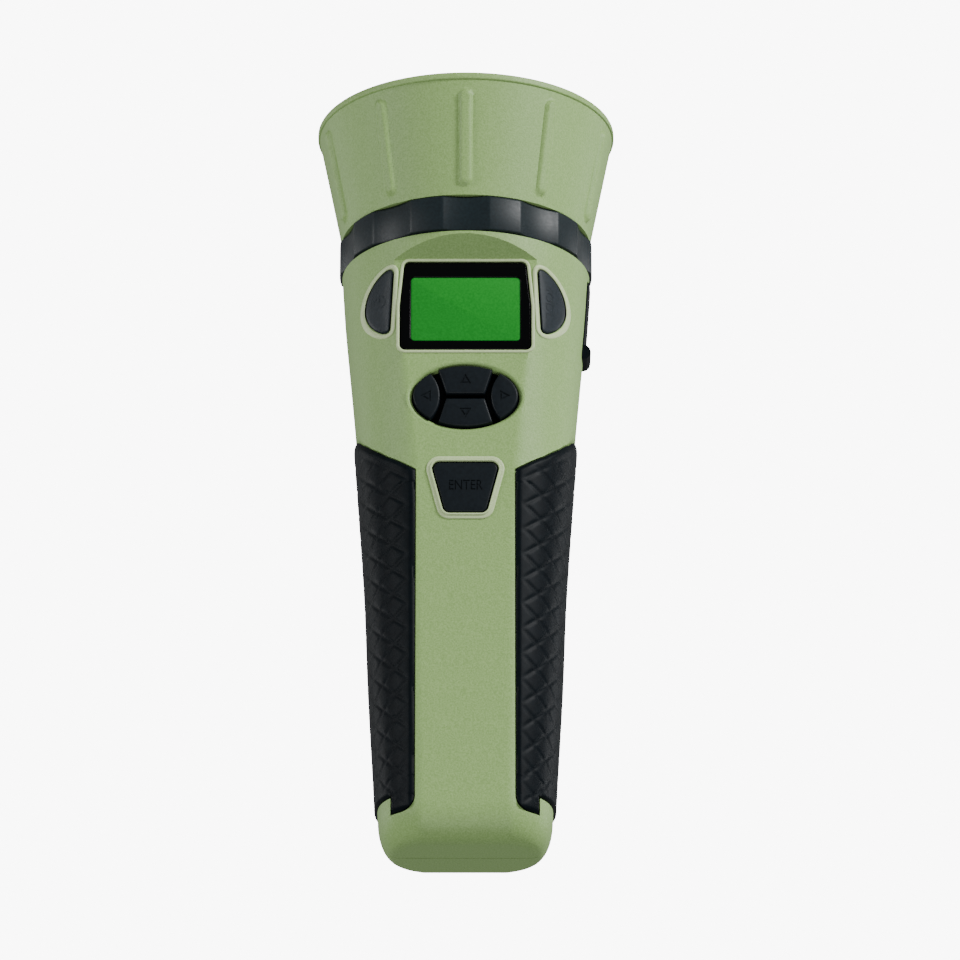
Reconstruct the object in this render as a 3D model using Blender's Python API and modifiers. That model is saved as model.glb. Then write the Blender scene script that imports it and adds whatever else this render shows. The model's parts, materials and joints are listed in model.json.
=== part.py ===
"""Handheld electronic game caller, built as an assembly of separate pieces.

Frame: metres, +Z up along the body, the display faces -Y, the origin is the centre of the flat foot.
Every size is a named value below; what fits in or seats on another piece is worked out from the same values.
"""

import math

import bmesh
import bpy
from mathutils import Matrix, Vector

# ---------------------------------------------------------------- driving sizes (metres)
GAP = 0.0003                    # clearance between neighbouring pieces
WELD = 0.000004                 # vertices closer than this are one
COLLECTION = "game_caller"

# body skin: height, half width, half depth and squareness of the section at each level
BODY_LEVELS = (
    (0.0000, 0.0219, 0.0196, 2.60),
    (0.0120, 0.0222, 0.0200, 2.60),
    (0.0435, 0.0240, 0.0216, 2.60),
    (0.0690, 0.0251, 0.0229, 2.60),
    (0.0962, 0.0270, 0.0244, 2.55),
    (0.1140, 0.0284, 0.0264, 2.35),
    (0.1305, 0.02995, 0.0287, 2.15),
    (0.1450, 0.0313, 0.0308, 2.02),
    (0.1584, 0.0322, 0.0322, 2.00),
)
BODY_HEIGHT = BODY_LEVELS[-1][0]
PANEL_ROWS = (0.020, 0.042, 0.069, 0.088, 0.0962, 0.1020, 0.1080, 0.1140, 0.1220, 0.1320, 0.1420)
FRONT_SEGMENTS = 4
SIDE_SEGMENTS = 10

FACET_FOOT = 0.0180             # depth of the flat front panel at the foot
FACET_LEAN = math.radians(2.96)
FACET_TOP = 0.1530              # the brow starts here
BROW_SLOPE = 1.32               # depth gained per height up the brow
BROW_STEP = 0.3125              # part of the brow's height between rows
REAR_FOOT = 0.0182
REAR_LEAN = math.radians(3.0)
REAR_PANEL_TOP = 0.0962
REAR_RUNOUT_SLOPE = 0.35

BASE_ROUND_HEIGHT = 0.0090
BASE_ROUND_SIDE = 0.0050
BASE_ROUND_DEPTH = 0.0075
BASE_ROUND_STEPS = 4

WALL = 0.0022                   # housing wall above the grips
GRIP_SEAT = 0.0018              # depth of the pockets that the grips lie in
GRIP_WALL = 0.0020              # housing wall under the grips
GRIP_PROUD = 0.0008
FLOOR_THICKNESS = 0.0030

# side grips
GRIP_EDGE = 0.0128              # half width of the bare panel between the grips
GRIP_TOP_LINE = (               # distance out from the inner edge, and height, along the slanted top edge
    (0.0000, 0.0962),
    (0.0072, 0.1009),
    (0.0112, 0.1045),
    (0.0137, 0.1077),
    (0.0157, 0.1118),
)
GRIP_OUTER_TOP = GRIP_TOP_LINE[-1][1]
GRIP_REACH = 0.0425             # how far out the grip's outline is drawn
GRIP_STEP_X = 0.0184
GRIP_STEP_Z = 0.0116
GRIP_LOBE_Z = 0.0072
GRIP_LOBE_RADIUS = 0.0034

# horn and collar
COLLAR_HEIGHT = 0.0095
COLLAR_RADIUS = 0.0329
SCALLOPS = 10
SCALLOP_RADIUS = 0.0244
SCALLOP_FLOOR = 0.0316
NECK_RADIUS = 0.0290
NECK_WALL = 0.0020
NECK_INSET = 0.0008             # how far the neck reaches down into the housing
HORN_FOOT_RADIUS = 0.0323
HORN_HEIGHT = 0.0318
HORN_RIM_RADIUS = 0.0389
HORN_WALL = 0.0017
HORN_LIP = 0.0020
THROAT_RISE = 0.0068            # throat ledge above the horn's foot
LEDGE_WIDTH = 0.0018
LEDGE_THICKNESS = 0.0016
RIB_WIDTH = 0.0034
RIB_PROUD = 0.0007
RIB_FOOT = 0.0023
RIB_LENGTH = 0.0250
TURN_STEPS = 40

# display
DISPLAY_HEIGHT = 0.0235
DISPLAY_BOTTOM = 0.1287
DISPLAY_TOP_HALF = 0.0154
DISPLAY_BOTTOM_HALF = 0.0166
DISPLAY_SIDE_BULGE = 0.0006
DISPLAY_CORNER = 0.0012
BEZEL_SUNK = 0.0003
BEZEL_THICKNESS = 0.0014
LCD_WIDTH = 0.0281
LCD_HEIGHT = 0.0173
LCD_BOTTOM = 0.1310
LCD_CORNER = 0.0010
LCD_GLASS = 0.0011

# keys
KEY_TRAVEL = 0.0006
KEY_PROUD = 0.0009
KEY_SLIT = 0.00035
KEY_LENGTH = 0.0070             # cap top to stem foot
PAD_CENTRE_Z = 0.1158
PAD_HALF_WIDTH = 0.01375
PAD_HALF_HEIGHT = 0.0085
PAD_SPLIT = 0.00065             # half of the gap between up and down
PAD_ARC_HALF = 0.0069
PAD_FOOT_HALF = 0.0049
PAD_SIDE_TIP = 0.0089
PAD_SIDE_EDGE = 0.0065
ENTER_TOP_Z = 0.0979
ENTER_HEIGHT = 0.0132
ENTER_TOP_HALF = 0.00865
ENTER_BOTTOM_HALF = 0.0052
ENTER_CORNER = 0.0016
SIDE_KEY_X = 0.0186             # straight edge of the power and mode keys
SIDE_KEY_WIDTH = 0.0070
SIDE_KEY_BOTTOM = 0.1335
SIDE_KEY_HEIGHT = 0.0174
SIDE_KEY_SLANT = 0.0010
SIDE_KEY_PROUD = 0.0006
KEY_CAP = 0.0028                # cap depth below the panel
KEY_STEM_INSET = 0.0012

# boards
BOARD_DEPTH = 0.0085            # board face behind the front panel
BOARD_THICKNESS = 0.0016
BOARD_HALF = 0.0150
BOARD_BOTTOM = 0.0840
BOARD_TOP = 0.1520
CHIP_HEIGHT = 0.0016
AMP_Y = -0.0070                 # back face of the amplifier board
AMP_HALF = 0.0240
AMP_BOTTOM = 0.1310
AMP_TOP = 0.1488
SWITCH_HALF = 0.0022
SWITCH_HEIGHT = 0.0018
MAT_THICKNESS = 0.0012
MAT_HALF = 0.0145

# speaker
GRILLE_THICKNESS = 0.0010
GRILLE_SLOTS = 3
GRILLE_SPOKES = 6
GASKET_THICKNESS = 0.0008
SPEAKER_FLANGE = 0.0012
BASKET_HEIGHT = 0.0120
BASKET_RADIUS = 0.0150
BASKET_WALL = 0.0010
CONE_WALL = 0.0006
MAGNET_RADIUS = 0.0135
MAGNET_HEIGHT = 0.0080

# batteries
CELL_RADIUS = 0.00715
CELL_LENGTH = 0.0492
CELL_NUB_RADIUS = 0.0027
CELL_NUB = 0.0012
CELL_BOTTOM = 0.0105
CELL_SPACING = 0.0146
END_CAP_BOTTOM = 0.0050
END_CAP_THICKNESS = 0.0012
CONTACT_THICKNESS = 0.0005
CONTACT_INSET = 0.0015
SPRING_RADIUS = 0.0036
SPRING_WIRE = 0.00035
SPRING_TURNS = 2.5
SPRING_POINTS = 7

# battery door
DOOR_MARGIN = 0.0024            # the door stops this far inside the grips
DOOR_BOTTOM = 0.0122
DOOR_HEIGHT = 0.0600
DOOR_THICKNESS = 0.0020
DOOR_FOOT_GAP = 0.0005          # room for the lower edge to swing
PIN_RADIUS = 0.0006
PIN_BORE = 0.0009
PIN_MARGIN = 0.0011             # the hinge pin ends this far inside the grips
PIN_INSET = 0.0010
NOTCH_HALF = 0.0050             # finger notch at the door's top edge
NOTCH_HEIGHT = 0.0040
NOTCH_DEPTH = 0.0010

# ports and their cover
COVER_HALF = 0.0052
COVER_BOTTOM = 0.1345
COVER_TOP = 0.1562
COVER_HINGE_X = 0.0323          # the cover bends open at its top edge, in the skin
COVER_SEAT = 0.0012
COVER_PROUD = 0.0005
TAB_HEIGHT = 0.0042
JACK_Z = 0.1500
JACK_RADIUS = 0.0031
JACK_BORE = 0.00175
JACK_LENGTH = 0.0100
POWER_PORT_Z = 0.1406
POWER_PORT_HALF_Y = 0.0042
POWER_PORT_HALF_Z = 0.0018
POWER_PORT_WALL = 0.0005
POWER_PORT_LENGTH = 0.0072

# screws
SCREW_X = (0.0160, 0.0150)
SCREW_Z = (0.1225, 0.0780)
SCREW_HEAD_RADIUS = 0.0026
SCREW_HEAD = 0.0018
SCREW_RADIUS = 0.0013
SCREW_LENGTH = 0.0180
BOSS_ROOT = -0.0100
BOSS_WEB = 0.0010               # half thickness of the rib that ties a boss to the wall
SCREW_SINK = 0.0012
BOSS_RADIUS = 0.0031
SLEEVE_RADIUS = 0.0037          # rear sleeves that meet the front bosses
BOSS_END = 0.0010               # front bosses end here, just behind the parting plane

# leads
LEAD_RADIUS = 0.0006
LEAD_X = 0.0040

MATERIALS = {
    "green_plastic": ((0.30, 0.38, 0.21, 1.0), 0.50, 0.0),
    "grip_rubber": ((0.012, 0.020, 0.026, 1.0), 0.60, 0.0),
    "collar_plastic": ((0.030, 0.048, 0.060, 1.0), 0.42, 0.0),
    "key_rubber": ((0.014, 0.019, 0.024, 1.0), 0.50, 0.0),
    "black_gloss": ((0.003, 0.003, 0.004, 1.0), 0.12, 0.0),
    "lcd_green": ((0.027, 0.23, 0.027, 1.0), 0.25, 0.0),
    "board_green": ((0.010, 0.090, 0.040, 1.0), 0.45, 0.0),
    "black_plastic": ((0.015, 0.015, 0.016, 1.0), 0.50, 0.0),
    "steel": ((0.55, 0.55, 0.56, 1.0), 0.30, 1.0),
    "cell_wrap": ((0.05, 0.05, 0.06, 1.0), 0.35, 0.0),
    "paper_cone": ((0.06, 0.06, 0.06, 1.0), 0.85, 0.0),
    "lead_red": ((0.45, 0.02, 0.02, 1.0), 0.45, 0.0),
    "lead_black": ((0.01, 0.01, 0.01, 1.0), 0.45, 0.0),
}

DOOR_HALF = GRIP_EDGE - DOOR_MARGIN
PIN_HALF = GRIP_EDGE - PIN_MARGIN

# ---------------------------------------------------------------- scene and helpers
for old in list(bpy.data.objects):
    bpy.data.objects.remove(old, do_unlink=True)

parts = bpy.data.collections.new(COLLECTION)
cutters = bpy.data.collections.new("cutters")
bpy.context.scene.collection.children.link(parts)
bpy.context.scene.collection.children.link(cutters)


def material(name):
    """The named finish as a Principled material."""
    found = bpy.data.materials.get(name)
    if found:
        return found
    colour, roughness, metallic = MATERIALS[name]
    made = bpy.data.materials.new(name)
    made.use_nodes = True
    shader = made.node_tree.nodes["Principled BSDF"]
    shader.inputs["Base Color"].default_value = colour
    shader.inputs["Roughness"].default_value = roughness
    shader.inputs["Metallic"].default_value = metallic
    made.diffuse_color = colour
    return made


def object_from_bmesh(name, mesh_data):
    """A new object holding the bmesh, not yet in a collection."""
    bmesh.ops.recalc_face_normals(mesh_data, faces=mesh_data.faces)
    mesh = bpy.data.meshes.new(name)
    mesh_data.to_mesh(mesh)
    mesh_data.free()
    return bpy.data.objects.new(name, mesh)


def as_part(obj, finish):
    """Files an object as a piece of the caller."""
    parts.objects.link(obj)
    obj.data.materials.clear()
    obj.data.materials.append(material(finish))
    return obj


def as_cutter(obj):
    """Files an object as a cutter, which isn't part of the caller."""
    cutters.objects.link(obj)
    obj.hide_render = True
    obj.display_type = "WIRE"
    return obj


def boolean(obj, tool, operation="DIFFERENCE"):
    """Adds a Boolean of the tool to the object."""
    cut = obj.modifiers.new(operation.lower() + "_" + tool.name, "BOOLEAN")
    cut.operation = operation
    cut.object = tool
    cut.solver = "EXACT"
    return obj


def settle(obj):
    """Applies the object's modifiers and welds away the slivers that the cuts leave."""
    bpy.context.view_layer.update()
    evaluated = obj.evaluated_get(bpy.context.evaluated_depsgraph_get())
    shape = bmesh.new()
    shape.from_mesh(bpy.data.meshes.new_from_object(evaluated))
    bmesh.ops.triangulate(shape, faces=shape.faces)
    bmesh.ops.remove_doubles(shape, verts=shape.verts, dist=WELD)
    found = {}
    for face in shape.faces:
        found.setdefault(frozenset(face.verts), []).append(face)
    folded = [face for same in found.values() if len(same) > 1 for face in same]
    bmesh.ops.delete(shape, geom=folded, context="FACES")
    shape.to_mesh(obj.data)
    shape.free()
    obj.modifiers.clear()
    return obj


def joined(name, objects):
    """One cutter made of several that don't touch, which are used up."""
    shape = bmesh.new()
    for obj in objects:
        mesh = obj.data.copy()
        mesh.transform(obj.matrix_world)
        shape.from_mesh(mesh)
        bpy.data.objects.remove(obj, do_unlink=True)
    return as_cutter(object_from_bmesh(name, shape))


def box(name, low, high):
    """A box between two corners."""
    shape = bmesh.new()
    centre = (Vector(low) + Vector(high)) / 2
    size = Vector(high) - Vector(low)
    bmesh.ops.create_cube(shape, size=1.0, matrix=Matrix.Translation(centre) @ Matrix.Diagonal((*size, 1.0)))
    return object_from_bmesh(name, shape)


def cylinder(name, radius, start, end, segments=24):
    """A cylinder between two points."""
    start, end = Vector(start), Vector(end)
    turn = (end - start).to_track_quat("Z", "Y").to_matrix().to_4x4()
    shape = bmesh.new()
    bmesh.ops.create_cone(
        shape, cap_ends=True, segments=segments, radius1=radius, radius2=radius,
        depth=(end - start).length, matrix=Matrix.Translation((start + end) / 2) @ turn,
    )
    return object_from_bmesh(name, shape)


def turned(name, profile, steps=TURN_STEPS):
    """A closed profile of (radius, height) points turned about Z by a Screw modifier.

    The profile runs down the outer side first and returns up the inner side.
    """
    mesh = bpy.data.meshes.new(name)
    points = [(radius, 0.0, height) for radius, height in profile]
    edges = [(i, (i + 1) % len(points)) for i in range(len(points))]
    on_axis = profile[0][0] == 0.0 and profile[-1][0] == 0.0
    mesh.from_pydata(points, edges[:-1] if on_axis else edges, [])
    obj = bpy.data.objects.new(name, mesh)
    screw = obj.modifiers.new("turn", "SCREW")
    screw.axis = "Z"
    screw.steps = steps
    screw.render_steps = steps
    screw.use_merge_vertices = True
    screw.merge_threshold = 0.00001
    return obj


def outline_prism(name, outline, low, high, frame=Matrix.Identity(4)):
    """A flat outline made solid between two heights of a frame, as a mesh object."""
    curve = bpy.data.curves.new(name, "CURVE")
    curve.dimensions = "2D"
    curve.fill_mode = "BOTH"
    curve.extrude = (high - low) / 2
    spline = curve.splines.new("POLY")
    spline.points.add(len(outline) - 1)
    for point, (x, y) in zip(spline.points, outline):
        point.co = (x, y, 0.0, 1.0)
    spline.use_cyclic_u = True
    drawn = bpy.data.objects.new(name + "_outline", curve)
    bpy.context.scene.collection.objects.link(drawn)
    bpy.context.view_layer.update()
    evaluated = drawn.evaluated_get(bpy.context.evaluated_depsgraph_get())
    shape = bmesh.new()
    shape.from_mesh(bpy.data.meshes.new_from_object(evaluated))
    bpy.data.objects.remove(drawn, do_unlink=True)
    bmesh.ops.remove_doubles(shape, verts=shape.verts, dist=0.000005)
    bmesh.ops.transform(shape, matrix=frame @ Matrix.Translation((0, 0, (low + high) / 2)), verts=shape.verts)
    return object_from_bmesh(name, shape)


def loft(name, sections):
    """A closed solid through horizontal sections, each a (height, outline) with the same point count."""
    shape = bmesh.new()
    rings = []
    for height, outline in sections:
        rings.append([shape.verts.new((x, y, height)) for x, y in outline])
    for lower, upper in zip(rings, rings[1:]):
        for i in range(len(lower)):
            j = (i + 1) % len(lower)
            shape.faces.new((lower[i], lower[j], upper[j], upper[i]))
    bmesh.ops.triangulate(shape, faces=shape.faces, quad_method="FIXED")
    shape.faces.new(list(reversed(rings[0])))
    shape.faces.new(rings[-1])
    return object_from_bmesh(name, shape)


def arc(start, end, bulge, count):
    """Points from start to end on a circular arc that stands off the chord by bulge, to its left."""
    start, end = Vector(start), Vector(end)
    chord = end - start
    side = Vector((-chord.y, chord.x)).normalized()
    half = chord.length / 2
    points = []
    if abs(bulge) < 1e-9:
        return [tuple(start.lerp(end, i / count)) for i in range(count + 1)]
    radius = (half * half + bulge * bulge) / (2 * abs(bulge))
    sweep = math.asin(min(1.0, half / radius))
    for i in range(count + 1):
        turn = -sweep + 2 * sweep * i / count
        along = radius * math.sin(turn)
        off = (radius * math.cos(turn) - (radius - abs(bulge))) * (1 if bulge > 0 else -1)
        points.append(tuple(start + chord / 2 + chord.normalized() * along + side * off))
    return points


def grown(outline, distance):
    """The outline with every point moved outwards by the distance."""
    area = sum(a[0] * b[1] - b[0] * a[1] for a, b in zip(outline, outline[1:] + outline[:1]))
    sign = 1.0 if area > 0 else -1.0
    result = []
    for i, point in enumerate(outline):
        before = Vector(point) - Vector(outline[i - 1])
        after = Vector(outline[(i + 1) % len(outline)]) - Vector(point)
        n1 = Vector((before.y, -before.x)).normalized()
        n2 = Vector((after.y, -after.x)).normalized()
        middle = (n1 + n2).normalized()
        reach = distance / max(0.5, middle.dot(n1))
        result.append(tuple(Vector(point) + middle * reach * sign))
    return result


def rounded(corners, radius, steps=3):
    """A polygon, anticlockwise, with its corners rounded."""
    result = []
    for i, corner in enumerate(corners):
        here = Vector(corner)
        back = (Vector(corners[i - 1]) - here).normalized()
        ahead = (Vector(corners[(i + 1) % len(corners)]) - here).normalized()
        half_angle = back.angle(ahead) / 2
        reach = radius / math.tan(half_angle)
        centre = here + (back + ahead).normalized() * radius / math.sin(half_angle)
        first = here + back * reach - centre
        last = here + ahead * reach - centre
        sweep = first.angle_signed(last)
        for step in range(steps + 1):
            turned_by = Matrix.Rotation(-sweep * step / steps, 2)
            result.append(tuple(centre + turned_by @ first))
    return result


# ---------------------------------------------------------------- the body's skin
def level_value(column, height):
    """A body measure at a height, on a smooth curve through the levels."""
    levels = BODY_LEVELS
    height = min(max(height, levels[0][0]), levels[-1][0])
    for i in range(len(levels) - 1):
        if height <= levels[i + 1][0]:
            break
    low, high = levels[i], levels[i + 1]
    before, after = levels[max(i - 1, 0)], levels[min(i + 2, len(levels) - 1)]
    span = high[0] - low[0]
    t = (height - low[0]) / span
    slope_low = (high[column] - before[column]) / (high[0] - before[0]) * span
    slope_high = (after[column] - low[column]) / (after[0] - low[0]) * span
    return (
        (2 * t**3 - 3 * t**2 + 1) * low[column]
        + (t**3 - 2 * t**2 + t) * slope_low
        + (-2 * t**3 + 3 * t**2) * high[column]
        + (t**3 - t**2) * slope_high
    )


def facet_depth(height):
    """Depth of the flat front panel, and of the brow above it."""
    depth = FACET_FOOT + min(height, FACET_TOP) * math.tan(FACET_LEAN)
    return depth + max(0.0, height - FACET_TOP) * BROW_SLOPE


def rear_depth(height):
    """Depth of the flat rear panel, which runs out into the round back."""
    depth = REAR_FOOT + height * math.tan(REAR_LEAN)
    return depth + max(0.0, height - REAR_PANEL_TOP) * REAR_RUNOUT_SLOPE


def side_point(width, depth, power, angle):
    """A point of the superellipse."""
    c, s = math.cos(angle), math.sin(angle)
    x = width * math.copysign(abs(c) ** (2 / power), c)
    y = depth * math.copysign(abs(s) ** (2 / power), s)
    return x, y


def panel_half(width, depth, power, panel):
    """Half width of a flat panel that cuts the superellipse at a depth."""
    least = 0.0015
    if panel >= depth:
        return least
    return max(least, width * (1 - (panel / depth) ** power) ** (1 / power))


def body_section(height, growth=0.0):
    """The skin's outline at a height, anticlockwise from the front left corner of the panel."""
    inset = 0.0
    if height < BASE_ROUND_HEIGHT:
        inset = 1 - math.sqrt(max(0.0, 1 - (1 - height / BASE_ROUND_HEIGHT) ** 2))
    width = level_value(1, height) - inset * BASE_ROUND_SIDE + growth
    depth = level_value(2, height) - inset * BASE_ROUND_DEPTH + growth
    power = level_value(3, height)
    front = facet_depth(height) - inset * BASE_ROUND_DEPTH + growth
    rear = rear_depth(height) - inset * BASE_ROUND_DEPTH + growth
    front_half = panel_half(width, depth, power, front)
    rear_half = panel_half(width, depth, power, rear)

    def surface(x, panel):
        return min(panel, depth * (1 - min(1.0, abs(x) / width) ** power) ** (1 / power))

    outline = []
    for i in range(FRONT_SEGMENTS):
        x = -front_half + 2 * front_half * i / FRONT_SEGMENTS
        outline.append((x, -surface(x, front)))
    first = -math.acos((front_half / width) ** (power / 2))
    last = math.acos((rear_half / width) ** (power / 2))
    side = [
        side_point(width, depth, power, first + (last - first) * i / SIDE_SEGMENTS)
        for i in range(SIDE_SEGMENTS)
    ]
    outline += side
    for i in range(FRONT_SEGMENTS):
        x = rear_half - 2 * rear_half * i / FRONT_SEGMENTS
        outline.append((x, surface(x, rear)))
    back_left = (-rear_half, surface(rear_half, rear))
    left_side = [(-x, y) for x, y in reversed(side[1:])]
    outline += [back_left] + left_side
    return outline


def skin_rows(bottom, top):
    """Heights of the skin's rows between two levels."""
    rows = []
    for i in range(BASE_ROUND_STEPS + 1):
        rows.append(BASE_ROUND_HEIGHT * (1 - math.cos(math.pi / 2 * i / BASE_ROUND_STEPS)))
    rows += list(PANEL_ROWS)
    brow_top = FACET_TOP + (BODY_LEVELS[-1][2] - facet_depth(FACET_TOP)) / BROW_SLOPE
    for i in range(4):
        rows.append(FACET_TOP + (brow_top - FACET_TOP) * i * BROW_STEP)
    inside = [row for row in rows if bottom + 0.0008 < row < top - 0.0004]
    return [bottom] + inside + [top]


def skin_solid(name, growth, bottom, top):
    """The body's skin moved in or out, as a solid between two heights."""
    rows = skin_rows(bottom, min(top, BODY_HEIGHT))
    sections = [(row, body_section(row, growth)) for row in rows]
    if top > BODY_HEIGHT:
        sections.append((top, body_section(BODY_HEIGHT, growth)))
    return loft(name, sections)


# frames on the slanted front and rear panels: X across, Y up the panel, Z outwards
FACET = Matrix.Translation((0, -FACET_FOOT, 0)) @ Matrix.Rotation(math.pi / 2 + FACET_LEAN, 4, "X")
REAR = (
    Matrix.Translation((0, REAR_FOOT, 0))
    @ Matrix.Rotation(math.pi, 4, "Z")
    @ Matrix.Rotation(math.pi / 2 + REAR_LEAN, 4, "X")
)


def up_facet(height):
    """Distance up the front panel of a height above the floor."""
    return height / math.cos(FACET_LEAN)


def up_rear(height):
    """Distance up the rear panel of a height above the floor."""
    return height / math.cos(REAR_LEAN)


# ---------------------------------------------------------------- outlines on the front panel
def display_outline():
    """The window, narrower at the top, with slightly bulged sides."""
    low = up_facet(DISPLAY_BOTTOM)
    high = low + DISPLAY_HEIGHT
    middle = (low + high) / 2
    waist = (DISPLAY_TOP_HALF + DISPLAY_BOTTOM_HALF) / 2 + DISPLAY_SIDE_BULGE
    corners = [
        (-DISPLAY_BOTTOM_HALF, low), (DISPLAY_BOTTOM_HALF, low), (waist, middle),
        (DISPLAY_TOP_HALF, high), (-DISPLAY_TOP_HALF, high), (-waist, middle),
    ]
    return rounded(corners, DISPLAY_CORNER)


def lcd_outline():
    """The lit area of the display."""
    low = up_facet(LCD_BOTTOM)
    half = LCD_WIDTH / 2
    high = low + LCD_HEIGHT
    return rounded([(-half, low), (half, low), (half, high), (-half, high)], LCD_CORNER)


def pad_ellipse(shrink, start, end, count):
    """Points of the pad's ellipse between two angles."""
    points = []
    for i in range(count + 1):
        angle = start + (end - start) * i / count
        x = (PAD_HALF_WIDTH - shrink) * math.cos(angle)
        points.append((x, up_facet(PAD_CENTRE_Z) + (PAD_HALF_HEIGHT - shrink) * math.sin(angle)))
    return points


def up_key_outline():
    """The upper key: an arc of the ellipse over a narrower straight foot."""
    start = math.acos(PAD_ARC_HALF / (PAD_HALF_WIDTH - KEY_SLIT))
    top = pad_ellipse(KEY_SLIT, start, math.pi - start, 8)
    foot = up_facet(PAD_CENTRE_Z) + PAD_SPLIT
    return [(-PAD_FOOT_HALF, foot), (PAD_FOOT_HALF, foot)] + top


def left_key_outline():
    """The left key: the end of the ellipse, closed by a bowed edge."""
    start = math.acos(-PAD_SIDE_TIP / (PAD_HALF_WIDTH - KEY_SLIT))
    end = pad_ellipse(KEY_SLIT, start, 2 * math.pi - start, 10)
    edge = arc(end[-1], end[0], -(PAD_SIDE_TIP - PAD_SIDE_EDGE), 6)
    return end[:-1] + edge[:-1]


def flipped(outline, centre):
    """The outline turned upside down about a height, still anticlockwise."""
    return [(x, 2 * centre - y) for x, y in reversed(outline)]


def mirrored(outline):
    """The outline mirrored left to right, still anticlockwise."""
    return [(-x, y) for x, y in reversed(outline)]


def enter_outline():
    """The enter key: an upside-down trapezoid with rounded corners."""
    high = up_facet(ENTER_TOP_Z)
    low = high - ENTER_HEIGHT
    corners = [
        (-ENTER_BOTTOM_HALF, low), (ENTER_BOTTOM_HALF, low), (ENTER_TOP_HALF, high), (-ENTER_TOP_HALF, high),
    ]
    return rounded(corners, ENTER_CORNER)


def side_key_outline():
    """The left half-moon key: a straight edge towards the display and a bowed outer edge."""
    low = up_facet(SIDE_KEY_BOTTOM)
    high = low + SIDE_KEY_HEIGHT
    bottom = (-SIDE_KEY_X - SIDE_KEY_SLANT, low)
    top = (-SIDE_KEY_X, high)
    outer = arc(top, bottom, -(SIDE_KEY_WIDTH - SIDE_KEY_SLANT / 2), 12)
    return [(x, y) for x, y in outer]


# ---------------------------------------------------------------- cutters shared by the housings
def grip_zone(clearance):
    """The outline, in X and Z, that the right grip fills seen from the front."""
    lobe_centre = (GRIP_EDGE + GRIP_LOBE_RADIUS, GRIP_LOBE_Z + GRIP_LOBE_RADIUS)
    lobe = [
        (
            lobe_centre[0] - GRIP_LOBE_RADIUS * math.cos(math.pi / 2 * i / 4),
            lobe_centre[1] - GRIP_LOBE_RADIUS * math.sin(math.pi / 2 * i / 4),
        )
        for i in range(5)
    ]
    outline = lobe + [
        (GRIP_STEP_X, GRIP_LOBE_Z),
        (GRIP_STEP_X, GRIP_STEP_Z),
        (GRIP_REACH, GRIP_STEP_Z),
        (GRIP_REACH, GRIP_OUTER_TOP),
    ]
    outline += [(GRIP_EDGE + out, z) for out, z in reversed(GRIP_TOP_LINE)]
    return grown(outline, clearance) if clearance else outline


def grip_prism(name, side, clearance):
    """The grip's zone as a prism through the whole depth of the body."""
    outline = grip_zone(clearance)
    if side < 0:
        outline = mirrored(outline)
    upright = Matrix.Rotation(math.pi / 2, 4, "X")
    return outline_prism(name, outline, -0.05, 0.05, upright)


CAVITY_ROWS = (
    FLOOR_THICKNESS, 0.0055, BASE_ROUND_HEIGHT, 0.030, 0.055, 0.080, 0.100, 0.116, 0.122, 0.132, 0.142, FACET_TOP,
)


def wall_inset(height):
    """Depth of the cavity's wall below the skin."""
    blend = min(1.0, max(0.0, (height - GRIP_OUTER_TOP - WALL) / 0.005))
    return (GRIP_SEAT + GRIP_WALL) * (1 - blend) + WALL * blend


def cavity_solid():
    """The hollow inside the housings: thicker walls where the grips are let in."""
    rows = list(CAVITY_ROWS)
    brow_top = FACET_TOP + (BODY_LEVELS[-1][2] - facet_depth(FACET_TOP)) / BROW_SLOPE
    rows += [FACET_TOP + (brow_top - FACET_TOP) * i / 2 for i in (1, 2)] + [BODY_HEIGHT]
    sections = [(row, body_section(row, -wall_inset(row))) for row in rows]
    sections.append((BODY_HEIGHT + 0.01, body_section(BODY_HEIGHT, -WALL)))
    return loft("cavity", sections)


cavity = as_cutter(cavity_solid())
pocket_cutters = []
for side_name, side in (("left", -1), ("right", 1)):
    pocket = as_cutter(grip_prism(side_name + "_grip_pocket", side, GAP))
    core = as_cutter(skin_solid(side_name + "_pocket_core", -GRIP_SEAT, -0.001, BODY_HEIGHT + 0.02))
    boolean(pocket, core)
    pocket_cutters.append(pocket)

KEY_REACH = 0.0165              # how far back the power and mode keys' openings run
panel_holes = {
    "display_hole": (grown(display_outline(), GAP), BOARD_DEPTH),
    "pad_hole": (pad_ellipse(0.0, 0.0, 2 * math.pi * 35 / 36, 35), BOARD_DEPTH),
    "enter_hole": (grown(enter_outline(), KEY_SLIT), BOARD_DEPTH),
    "power_hole": (grown(side_key_outline(), KEY_SLIT), KEY_REACH),
    "mode_hole": (grown(mirrored(side_key_outline()), KEY_SLIT), KEY_REACH),
}
panel_cutter = joined(
    "panel_holes",
    [outline_prism(name, outline, -depth, 0.006, FACET) for name, (outline, depth) in panel_holes.items()],
)


def rounded_slab(name, half_y, low, high, x_from, x_to, radius):
    """A slab across X with rounded corners in the Y-Z plane."""
    outline = rounded([(-half_y, low), (half_y, low), (half_y, high), (-half_y, high)], radius)
    across = Matrix(((0, 0, 1, 0), (1, 0, 0, 0), (0, 1, 0, 0), (0, 0, 0, 1)))
    return outline_prism(name, outline, x_from, x_to, across)


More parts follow.
